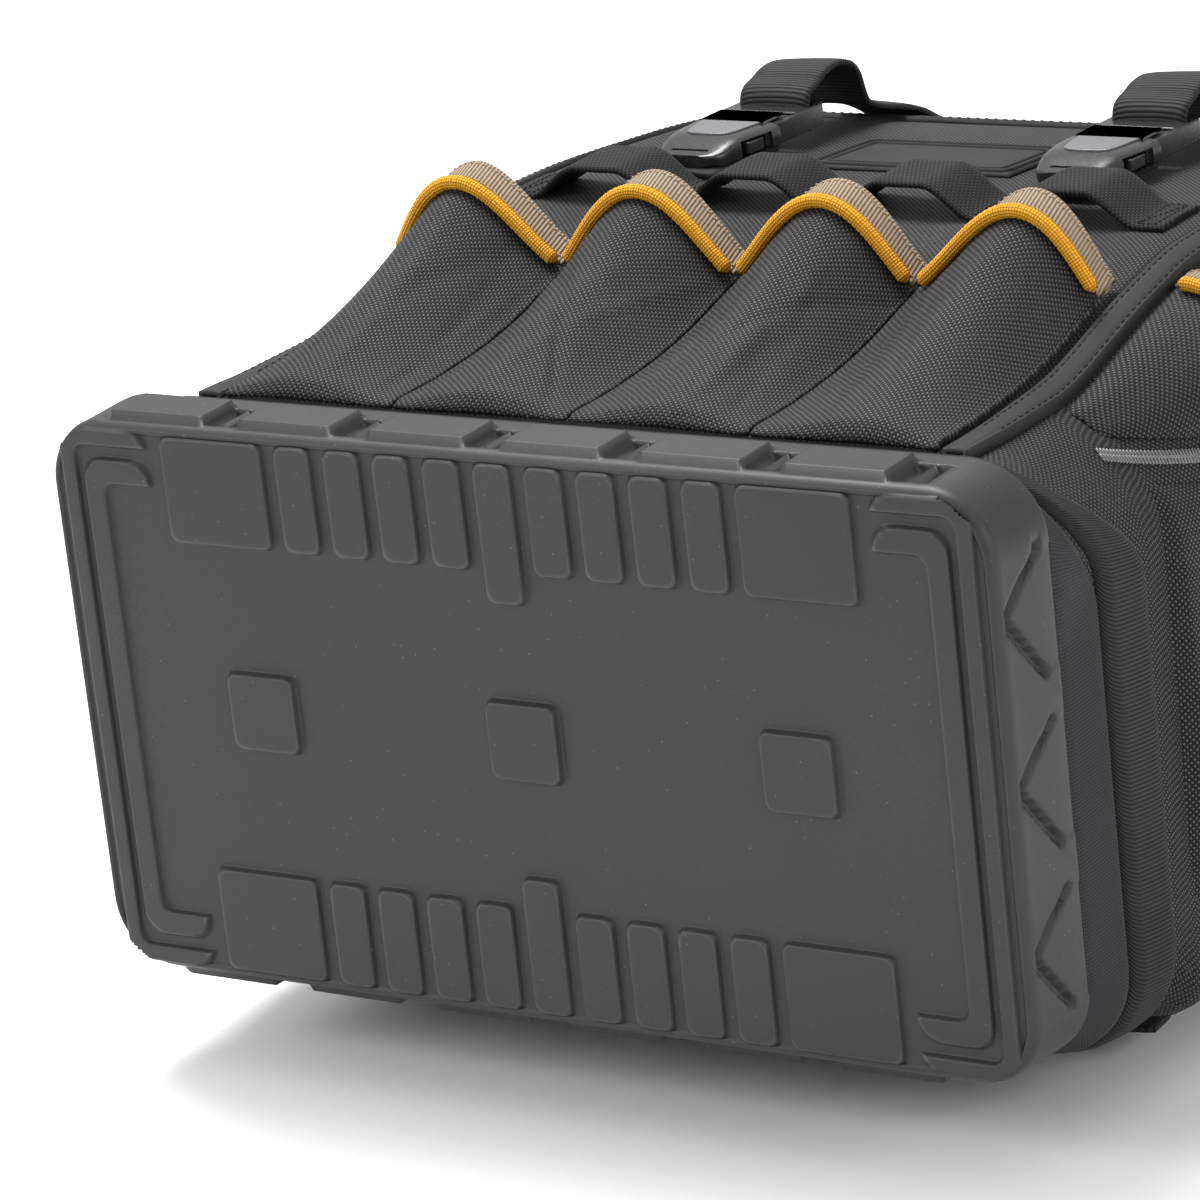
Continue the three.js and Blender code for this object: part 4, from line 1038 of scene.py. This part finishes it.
def slab(plan, low, high):
    """A plan drawn up between two heights; a height may be a number or a function of x and y."""
    plan = np.asarray(plan, float)
    n = len(plan)
    levels = [np.array([level(x, y) if callable(level) else level for x, y in plan]) for level in (low, high)]
    points = [(x, y, z) for level in levels for (x, y), z in zip(plan, level)]
    faces = [tuple(range(n))[::-1], tuple(range(n, 2 * n))]
    faces += [(i, (i + 1) % n, n + (i + 1) % n, n + i) for i in range(n)]
    return points, faces


def cut_from(piece, cutters, edge=0.5):
    """Cuts solids out of a piece, then rounds its edges."""
    for i, (points, faces) in enumerate(cutters):
        tool = finish_mesh("cutter", points, faces)
        cut = piece.modifiers.new(f"cut_{i}", "BOOLEAN")
        cut.object = tool
        cut.solver = "EXACT"
        with bpy.context.temp_override(object=piece, active_object=piece):
            bpy.ops.object.modifier_apply(modifier=cut.name)
        bpy.data.objects.remove(tool, do_unlink=True)
    soft = piece.modifiers.new("edges", "BEVEL")
    soft.width = edge / 1000
    soft.segments = 3
    soft.limit_method = "ANGLE"
    soft.angle_limit = math.radians(32)
    piece.data.shade_smooth()
    piece.modifiers.new("normals", "WEIGHTED_NORMAL")
    return piece


def socket_plan(half, y0, y1):
    """Plan of the socket: a narrow rounded nose that widens to the back."""
    right = [(0, y0), (half * 0.45, y0 + 0.3), (half * 0.66, y0 + 1.6), (half * 0.76, y0 + 4.5)]
    right += [(half * 0.84, y0 + 10), (half * 0.93, y0 + 17), (half, y0 + 24), (half, y1 - 1.2)]
    right += [(half - 1.2, y1)]
    return right + [(-x, y) for x, y in right[:0:-1]]


nose_drop, plug_hollow, wall_thick = 3.6, 1.6, 2.2
slot_half, slot_long = web_wide / 2 + 0.8, 3.6


def nose_top(y):
    """Height of the socket's top, which slopes down to its nose."""
    return buckle_high - nose_drop * (1 - ramp(y, buckle_from - 2, buckle_from + 15))


def plug_top(x, y):
    """Height of the plug's top, hollowed between its two ends."""
    hollow_from, hollow_to = ramp(y, socket_to + 8, socket_to + 13), ramp(y, plug_to - 8, plug_to - 2)
    return buckle_high - 1 - plug_hollow * hollow_from + plug_hollow * hollow_to


socket_steps = np.array([0, 0.6, 1.4, 2.6, 4.5, 7, 10, 13, 16, 20, 24, 27, socket_to - buckle_from - 1.0])
socket_ys = np.append(buckle_from + socket_steps, socket_to)
waist_at, waist_half = [0, 0.6, 1.6, 4.5, 10, 17, 24, 32], [7.0, 8.8, 10.6, 12.4, 13.9, 15.3, 16.5, 16.5]
for side, sign in both_sides:
    at = sign * buckle_x

    def shifted(part):
        """A part moved to its own side of the pack."""
        return [(x + at, y, z) for x, y, z in part[0]], part[1]

    body_rows = []
    for y in socket_ys:
        half = np.interp(y - buckle_from, waist_at, waist_half)
        top, low = float(nose_top(y)), buckle_low + 1.4 * (1 - ramp(y, buckle_from, buckle_from + 5))
        ring = []
        for a in np.linspace(0, 2 * math.pi, 32, endpoint=False):
            c, s = math.cos(a), math.sin(a)
            z = (top + low) / 2 + (top - low) / 2 * abs(s) ** 0.5 * np.sign(s)
            ring.append((at + half * abs(c) ** 0.42 * np.sign(c), y, z))
        body_rows.append(ring)
    body = np.array(body_rows)
    rows_n, cols_n = body.shape[:2]
    faces = [tuple(f) for f in grid_faces(rows_n, cols_n, wrap=True, flip=True)]
    faces += [tuple(range(cols_n)), tuple(range((rows_n - 1) * cols_n, rows_n * cols_n))[::-1]]
    socket = finish_mesh("buckle_socket_" + side + "_moulding", body.reshape(-1, 3), faces)
    mid_low, mid_high = buckle_low + wall_thick, buckle_high - wall_thick
    inner_plan = rounded_plan(-buckle_half + 3, buckle_half - 3, buckle_from + 10, socket_to + 10, 2)
    window_plan = rounded_plan(buckle_half - 6, buckle_half + 6, buckle_from + 12, socket_to - 5, 2.5)
    groove_plan = rounded_plan(-7.0, 7.0, buckle_from + 3, buckle_from + 4.2, 0.5)
    inner = slab(inner_plan, mid_low, mid_high)
    window = slab(window_plan, mid_low - 0.4, mid_high + 0.4)
    other = [(-x, y, z) for x, y, z in window[0]], [f[::-1] for f in window[1]]
    groove = slab(groove_plan, buckle_high - 3.4, buckle_high + 2)
    cut_from(socket, [shifted(part) for part in (inner, window, other, groove)], 0.45)
    put_on(socket, plastic, "black_plastic", "buckle_socket_" + side)
    # The socket's top is a thin plate of black plastic painted lighter grey: painted highlight.
    top_plan = socket_plan(11.8, buckle_from + 13, socket_to - 1.2)
    plate_part = shifted(slab(top_plan, buckle_high - 0.3, buckle_high + 0.45))
    plate = cut_from(finish_mesh("buckle_plate_" + side, *plate_part), [], 0.3)
    put_on(plate, painted_highlight_plastic, "black_plastic")

    plug_edge = [(2, socket_to + 0.4), (1.4, socket_to + 8), (1.2, plug_to - 3), (3, plug_to)]
    plug_plan = [(-buckle_half + 2, socket_to + 0.4)] + [(buckle_half - inset, y) for inset, y in plug_edge]
    plug_plan += [(-buckle_half + inset, y) for inset, y in plug_edge[:0:-1]]
    plug_part = shifted(slab(plug_plan, buckle_low + 1, plug_top))
    plug = finish_mesh("buckle_plug_" + side + "_moulding", *plug_part)
    cutters = []
    for y in (plug_to - 19, plug_to - 8):
        slot_plan = rounded_plan(-slot_half, slot_half, y, y + slot_long, 1.2)
        cutters.append(shifted(slab(slot_plan, buckle_low - 4, buckle_high + 4)))
    cut_from(plug, cutters, 0.5)
    put_on(plug, plastic, "black_plastic", "buckle_plug_" + side)
    prongs = []
    for s in (-1, 1):
        inner_x, outer_x = sorted((s * (buckle_half - 8.2), s * (buckle_half - 4.4)))
        prong_plan = rounded_plan(inner_x, outer_x, buckle_from + 13.5, socket_to + 1, 1.5)
        prongs.append(shifted(slab(prong_plan, mid_low + 0.5, mid_high - 0.5)))
        inner_x, outer_x = sorted((s * (buckle_half - 4.4), s * (buckle_half - 0.8)))
        button_plan = rounded_plan(inner_x, outer_x, buckle_from + 14.5, socket_to - 8, 1.6)
        prongs.append(shifted(slab(button_plan, mid_low + 0.4, mid_high - 0.4)))
    put_on(cut_from(joined("buckle_prongs_" + side, prongs), [], 0.4), plastic, "black_plastic")

# Buckle webbing: black ribbed polyester, 25 mm wide. A short tab holds each socket; the strap runs
# up through the plug, stands in a slack loop behind it and goes over the top of the bag.
rest = buckle_high + web_thick
slot_at = plug_to - 8 + slot_long / 2


def rounded_path(points, turns):
    """A path with its corners cut back a few times, and its direction at each point."""
    path = np.asarray(points, float)
    for _ in range(turns):
        a, b = path[:-1] * 0.75 + path[1:] * 0.25, path[:-1] * 0.25 + path[1:] * 0.75
        path = np.concatenate([path[:1], np.stack([a, b], 1).reshape(-1, path.shape[1]), path[-1:]])
    runs = np.gradient(path, axis=0)
    return path, runs / np.linalg.norm(runs, axis=1, keepdims=True)


def ribbon(name, points, middle, twisted=0.0):
    """Flat webbing along a (y, z) path: softly rounded, slightly cupped, with thin rolled edges."""
    path, runs = rounded_path(points, 3)
    vs = np.linspace(-1, 1, 15)
    grid = np.empty((len(vs), len(path), 3))
    for i, v in enumerate(vs):
        lift = web_thick / 2 - 0.3 * abs(v) ** 8 + 0.25 * (1 - v * v)
        lift = lift + twisted * np.sin(path[:, 0] / 9) * v
        grid[i, :, 0] = middle + v * web_wide / 2
        grid[i, :, 1] = path[:, 0] - runs[:, 1] * lift
        grid[i, :, 2] = path[:, 1] + runs[:, 0] * lift
    return sheet(name, grid, thick=web_thick - 0.2)


strap_top = [y for y in along if panel_end + tape_wide < y < pack_long * 0.97]
strap_path = [
    (slot_at, buckle_low - 0.2), (slot_at, rest - 1.6), (slot_at + 2, rest + 0.6),
    (plug_to + 1, rest + 1.8), (plug_to + 5, rest + 3.8), (plug_to + 13, rest + 5),
    (plug_to + 20.5, rest + 3.2), (plug_to + 24.5, rest - 0.8), (plug_to + 26.5, rest - 8),
    (plug_to + 30, rest - 13.5),
    (panel_end + tape_wide, panel_top(panel_end + tape_wide) + 1.6 + web_thick),
] + [(y, bag_front(y) + 0.6 + web_thick) for y in strap_top]
tab_path = [(y, panel_top(y) + 0.3 + web_thick / 2) for y in np.arange(buckle_from - 4, socket_to + 8, 4)]
for side, sign in both_sides:
    strap = ribbon("buckle_strap_" + side + "_webbing", strap_path, sign * buckle_x, twisted=0.5)
    put_on(strap, webbing_black, "black_webbing", "buckle_strap_" + side)
    tab = ribbon("buckle_tab_" + side + "_webbing", tab_path, sign * buckle_x)
    put_on(tab, webbing_black, "black_webbing", "buckle_tab_" + side)

# Zips: a coil zip along each side of the bag, sewn in on its own woven tape. It runs along the
# wall from the foot band to near the top, and curves up over the front corner at its foot.
zip_end, tooth_step = 355.0, 1.3


def side_point(y, z, grow):
    """The bag's side skin at height z over its middle, pushed out by grow, with its outward x and z."""
    half, bend, front = eased(y, wide_at), eased(y, bend_at), bag_front(y)
    level = z - (front - bend)
    angle = np.where(level <= 0, 0.0, np.arcsin(np.clip(level / bend, 0, 1)))
    x = np.where(level <= 0, half, half - bend + np.cos(angle) * bend)
    nx, nz = np.cos(angle), np.sin(angle)
    return np.stack([x + nx * grow, np.full(np.shape(x), y), z + nz * grow], -1), nx, nz


def zip_line(y):
    """Height of the zip's middle along the side."""
    return front_rise * (0.426 + 0.232 * np.exp((band_seam + 3 - y) / 70))


zip_tape = woven("zip_tape", (0.012, 0.012, 0.013), (0.05, 0.05, 0.054), (0.6, 0.6), rough=0.7, depth=0.1)
coil, tree, shader = material_for("zip_coil", 0.34)
spot = add_node(tree, "ShaderNodeTexCoord")
worn = use_group(tree, handling, spot.outputs["Object"])
tone = mix_colours(tree, worn.outputs["Fine"], (0.05, 0.05, 0.052), (0.20, 0.20, 0.205))
tree.links.new(tone, shader.inputs["Base Color"])
roughness_from(tree, shader, worn.outputs["Fine"], 0.3, 0.2)
half_tape = ((-7.5, 0.25), (-7.0, 0.9), (-2.2, 1.0), (-1.6, 0.8))
tape_across = half_tape + tuple((-dz, grow) for dz, grow in half_tape[::-1])
for side, sign in both_sides:
    ys = np.arange(band_seam + 2, zip_end, 2.4)
    rows = []
    for dz, grow in tape_across:
        line = [side_point(float(y), np.array(zip_line(y) + dz), grow)[0] for y in ys]
        rows.append(np.array(line) * (sign, 1, 1))
    tape = sheet("side_zip_" + side + "_tape", np.array(rows), flip=sign > 0)
    put_on(tape, zip_tape, "zip_coil", "side_zip_" + side)
    teeth = []
    walk_y = band_seam + 3.0
    while walk_y < zip_end - 2:
        for half_row in (-1, 1):
            y = walk_y + (0.0 if half_row < 0 else 0.65)
            base, nx, nz = side_point(y, np.array(zip_line(y) + half_row * 0.75), 1.15)
            normal = np.array([float(nx), 0.0, float(nz)])
            across_zip = np.array([-normal[2], 0.0, normal[0]])
            ring = []
            for o in (-1.35, 1.35):
                for a in np.arange(6) * math.pi / 3:
                    p = base + across_zip * o * half_row + normal * (0.55 + 0.5 * math.sin(a))
                    ring.append((p + (0, 0.48 * math.cos(a), 0)) * (sign, 1, 1))
            quads = [(i, (i + 1) % 6, 6 + (i + 1) % 6, 6 + i) for i in range(6)]
            teeth.append((ring, quads + [tuple(range(6))[::-1], tuple(range(6, 12))]))
        walk_y += tooth_step
    put_on(joined("side_zip_" + side + "_teeth", teeth), coil, "zip_coil")

# Corner pockets: a small ballistic pocket wraps each front corner between the panel's tape and the
# zip. It is bound and piped like the front pockets.
corner_rim, corner_bulge, corner_from = 172.0, 7.0, band_seam + 11.0


def corner_arch(y, t, out, sign):
    """A point on a corner pocket: t runs 0 to 1 from the tape to the zip."""
    half, bend, front = eased(y, wide_at), eased(y, bend_at), bag_front(y)
    grown = max((y - corner_from) / (corner_rim - corner_from), 0.0)
    high = math.acos(min((tape_out + 1.2 - (half - bend)) / bend, 1))
    low = math.asin(np.clip((zip_line(y) + 6 - (front - bend)) / bend, -1, 1))
    bulge = corner_bulge if sign > 0 else corner_bulge * 0.15

    def at(v):
        a = high + (low - high) * v
        r = bend + 0.3 + np.sin(np.pi * np.clip(v, 0, 1)) ** 0.8 * (1 + bulge * grown)
        r = r - pushed_in(y, sign * np.cos(a), np.sin(a))
        return np.stack([half - bend + np.cos(a) * r, front - bend + np.sin(a) * r], -1)

    return off_line(at, t, 0.01, out, y, 0, 1) * (sign, 1, 1)


corner_seams = []
t_across = np.linspace(0, 1, 33)
wall_ys = np.arange(corner_from + 3, corner_rim - binding_wide + 2, 2.2)
for side, sign in both_sides:
    rows = []
    for y in np.concatenate([[corner_from, corner_from + 1.2], wall_ys]):
        shut = float(ramp(y, corner_from - 1, corner_from + 5))
        ripple = 0.35 * np.sin(t_across * 9 + y / 17) * shut * np.sin(np.pi * t_across)
        rows.append(corner_arch(float(y), t_across, 0.6 + 1.5 * shut + ripple, sign))
    pocket = sheet(f"corner_pocket_{side}_cloth", np.array(rows), flip=sign < 0, thick=1.5)
    put_on(pocket, ballistic, "ballistic_cloth", "corner_pocket_" + side)

    def rim_line(y, out):
        """The rim's points from left to right on both sides."""
        return corner_arch(y, t_across, out, sign)[::sign]

    corner_seams += bound_rim("corner_pocket_" + side, rim_line, corner_rim, 1)
stitches("corner_rim_stitching", corner_seams, tan_thread, long=1.5, gap=0.9, thick=0.26, slot="tan_binding")

# Side pockets: a wide open pocket of ballistic cloth low on each side of the bag, sewn down along
# its foot and both ends. Its mouth is hemmed with folded tape, stitched twice.
side_from, side_to, side_bulge = 94.0, 236.0, 12.0


def side_arch(y, t, out, sign):
    """A point on a side pocket: t runs 0 to 1 from the zip down to the back."""
    grown = float(ramp((y - side_from) / (side_to - side_from) + 0.35, 0, 1))
    high, low = zip_line(y) - 7, -back_fall * 0.66
    z = high + (low - high) * t
    base = side_point(y, z, 0.3)[0][..., 0]
    x = base + np.sin(np.pi * np.clip(t, 0, 1)) ** 0.6 * side_bulge * grown
    x = x + out + 0.8 * np.sin(t * 11 + y / 15) * np.sin(np.pi * t) * ramp(y, side_from, side_from + 20)
    return np.stack([x * sign, np.full(np.shape(t), y), z], -1)


hem_seams = []
hem_profile = ((-12, 2.0), (-11.6, 2.6), (-2, 2.7), (0.2, 2.2), (0.7, 1.0), (0, 0.1), (-8, 0.1))
t_side = np.linspace(0, 1, 61)
for side, sign in both_sides:
    rows = []
    for y in np.concatenate([[side_from, side_from + 1.5], np.arange(side_from + 3, side_to + 0.1, 3.0)]):
        shut = float(ramp(y, side_from - 1, side_from + 7))
        row = side_arch(float(y), t_side, 1.8, sign)
        flat = side_point(float(y), row[:, 2], 0.8)[0] * (sign, 1, 1)
        rows.append(flat * (1 - shut) + row * shut)
    pocket = sheet("side_pocket_" + side + "_cloth", np.array(rows), flip=sign < 0, thick=1.5)
    put_on(pocket, ballistic, "ballistic_cloth", "side_pocket_" + side)
    hem_rows = [side_arch(side_to + dy, t_side, out, sign) for dy, out in hem_profile]
    hem = sheet("side_pocket_" + side + "_hem", np.array(hem_rows), flip=sign < 0)
    put_on(hem, smooth_tape, "edge_tape")
    hem_seams += [side_arch(side_to - 10, t_side, 2.75, sign), side_arch(side_to - 2.5, t_side, 2.75, sign)]
stitches("side_hem_stitching", hem_seams, thread, slot="edge_tape")

# Back pad: a foam pad under smooth cloth on the carrying side. It is sewn down along two upright
# seams, one seam across and a border, and its cloth swells between them.
pad_thick = 10.0
pad_half, pad_from, pad_to = pack_half * 2 * 0.345, band_seam + 2.0, 0.79 * pack_long - 10
pad_low = -back_fall - seam_gap - pad_thick


def swollen(name, plan, low, high, seams, cell=5.0, frames_run=20, cap=3.0):
    """A padded piece from its plan: blown up by a cloth run, with sewn channels pressed in afterwards.

    seams(x, y) is the distance to the nearest seam, and cap the most that the cloth moves.
    """
    plan = np.asarray(plan, float)
    centre = plan.mean(axis=0)
    points, faces = slab(centre + (plan - centre) * 0.985, low + 1.2, high - 1.2)
    pad = finish_mesh(name, points, faces)
    grain = pad.modifiers.new("voxels", "REMESH")
    grain.mode = "VOXEL"
    grain.voxel_size = cell / 1000
    with bpy.context.temp_override(object=pad, active_object=pad):
        bpy.ops.object.modifier_apply(modifier=grain.name)
    count = len(pad.data.vertices)
    start = np.empty(count * 3)
    pad.data.vertices.foreach_get("co", start)
    start = start.reshape(-1, 3)
    run = pad.modifiers.new("stuffing", "CLOTH")
    run.settings.use_pressure = True
    run.settings.uniform_pressure_force = 4.0
    run.settings.effector_weights.gravity = 0.0
    run.settings.quality = 4
    run.point_cache.frame_end = frames_run
    for moment in range(1, frames_run + 1):
        bpy.context.scene.frame_set(moment)
    blown = pad.evaluated_get(bpy.context.evaluated_depsgraph_get())
    moved = np.empty(count * 3)
    blown.data.vertices.foreach_get("co", moved)
    pad.modifiers.remove(run)
    bpy.context.scene.frame_set(1)
    moved = moved.reshape(-1, 3)
    shift = moved - start
    far = np.linalg.norm(shift, axis=1, keepdims=True)
    shift *= np.minimum(1.0, cap / 1000 / np.maximum(far, 1e-9))
    place = (start + shift - origin) * 1000
    middle = (low + high) / 2
    press = np.exp(-((seams(place[:, 0], place[:, 1]) / 3.2) ** 2))
    under = place[:, 2] < middle
    place[:, 2] = np.where(under, place[:, 2] + press * (high - low) * 0.28, place[:, 2])
    place[:, 2] = np.clip(place[:, 2], low - 0.2, high)
    pad.data.vertices.foreach_set("co", lie(place).ravel())
    pad.data.update()
    smoother = pad.modifiers.new("fine", "SUBSURF")
    smoother.levels = smoother.render_levels = 1
    pad.data.shade_smooth()
    return pad


def pad_seams(x, y):
    """The back pad's two upright seams, the one across and its border."""
    channel = np.minimum(np.abs(np.abs(x) - pad_half * 0.36), np.abs(y - (pad_from + pad_to) / 2))
    border = np.abs(np.minimum(pad_half - np.abs(x), np.minimum(y - pad_from, pad_to - y)) - 9)
    return np.minimum(channel, border)


pad_dark, pad_light = (0.012, 0.012, 0.013), (0.055, 0.055, 0.060)
pad_cloth = woven("pad_cloth", pad_dark, pad_light, (0.9, 0.9), depth=0.2, by_place=True)
back_plan = rounded_plan(-pad_half, pad_half, pad_from, pad_to, 26, 9)
back_pad = swollen("back_pad_cushion", back_plan, pad_low, -back_fall - seam_gap, pad_seams)
put_on(back_pad, pad_cloth, "smooth_cloth", "back_pad")

# Shoulder straps: two curved foam straps in the same cloth, sewn under the top of the back and
# quilted along their middle and both edges.
strap_along = np.array([0.345, 0.41, 0.49, 0.62, 0.76, 0.865]) * pack_long
strap_across = np.array([0.63, 0.59, 0.50, 0.39, 0.30, 0.26]) * pack_half
strap_wide = np.array([46.0, 58, 64, 64, 58, 50])
strap_low = pad_low - seam_gap - pad_thick
strap_ys = np.linspace(strap_along[0], strap_along[-1], 26)
strap_mid = np.interp(strap_ys, strap_along, strap_across)
strap_half = np.interp(strap_ys, strap_along, strap_wide) / 2
for side, sign in both_sides:
    plan = [(sign * (m + h), y) for m, h, y in zip(strap_mid, strap_half, strap_ys)]
    plan += [(sign * (m - h), y) for m, h, y in zip(strap_mid[::-1], strap_half[::-1], strap_ys[::-1])]
    if sign < 0:
        plan = plan[::-1]

    def strap_seams(x, y):
        """Seams along the strap's middle and near both of its edges."""
        middle, half = np.interp(y, strap_ys, strap_mid), np.interp(y, strap_ys, strap_half)
        return np.minimum(np.abs(half - np.abs(np.abs(x) - middle) - 6), np.abs(np.abs(x) - middle))

    strap = swollen("shoulder_strap_" + side + "_foam", plan, strap_low, pad_low - seam_gap, strap_seams)
    put_on(strap, pad_cloth, "smooth_cloth", "shoulder_strap_" + side)

# Lower strap webbing: a flat black tail from the foot of each shoulder strap to a folded cloth
# tab, which is sewn to the back beside the pad.
anchor_z = -back_fall - 1.8
anchor_y = band_seam + 20


def tail(name, points, across, thick, cloth_look, slot, node):
    """A flat strip along (x, y, z) points, as wide as across, softly rounded where it turns."""
    path, runs = rounded_path(points, 2)
    side = np.cross(np.asarray(across, float), runs)
    side /= np.linalg.norm(side, axis=1, keepdims=True)
    flat = np.cross(runs, side)
    half = np.linalg.norm(across) / 2
    side = side * np.where(side[:, 2:3] < 0, 1, -1)
    rows = [path + flat * v * half + side * (thick / 2 - 0.3 * abs(v) ** 6) for v in np.linspace(-1, 1, 11)]
    return put_on(sheet(name, np.array(rows), thick=thick), cloth_look, slot, node)


tab_wide = 30.0
foot_x, foot_y, web_z = strap_across[0], strap_along[0], pad_low - 0.3 - web_thick
for side, sign in both_sides:
    tab = [(sign * (pad_half + run), anchor_y, anchor_z - drop) for run, drop in ((5, 0), (14, 1), (23, 2))]
    node = "strap_anchor_" + side
    tail(node + "_tab", tab, (0, tab_wide, 0), 2.6, patch_cloth, "smooth_cloth", node)
    lower = [
        (sign * foot_x, foot_y - 0.3, web_z), (sign * foot_x, foot_y - 16, web_z),
        (sign * (pad_half + 10), anchor_y + 22, web_z), (sign * (pad_half + 17), anchor_y - 4, anchor_z - 6),
    ]
    node = "strap_webbing_" + side
    tail(node + "_tail", lower, (web_wide, 0, 0), web_thick, webbing_black, "black_webbing", node)

# Grab handle: a loop of doubled webbing sewn flat to the top of the pack, with three rows of
# stitches across each foot and a narrower, rolled grip in its middle.
top_half = wide_at[-1]
cap_z = (back_at[-1] + bag_front(pack_long)) / 2
left_handle = [(-0.8, 0), (-0.5, 0), (-0.47, 14), (-0.3, 27)]
handle_shape = left_handle + [(0, 32)] + [(-x, y) for x, y in left_handle[::-1]]
path, runs = rounded_path([(x * top_half, pack_long + 1.8 + y) for x, y in handle_shape], 3)
rows = []
for v in np.linspace(-1, 1, 13):
    grip = ramp(path[:, 1] - pack_long, 12, 22)
    wide = 11 - 3.5 * grip
    bow = 1.4 + 1.6 * grip * (1 - v * v)
    rows.append(np.stack([path[:, 0] - runs[:, 1] * bow, path[:, 1] + runs[:, 0] * bow, cap_z + v * wide], 1))
handle = sheet("grab_handle_webbing", np.array(rows), flip=True, thick=2.8)
put_on(handle, webbing_black, "black_webbing", "grab_handle")
foot_lines = []
for sign in (-1, 1):
    for x in (0.54, 0.66, 0.78):
        zs = np.linspace(cap_z - 9, cap_z + 9, 20)
        foot_lines.append(np.stack([np.full(20, sign * x * top_half), np.full(20, pack_long + 3.4), zs], 1))
stitches("handle_stitching", foot_lines, thread, long=1.8, gap=0.9)
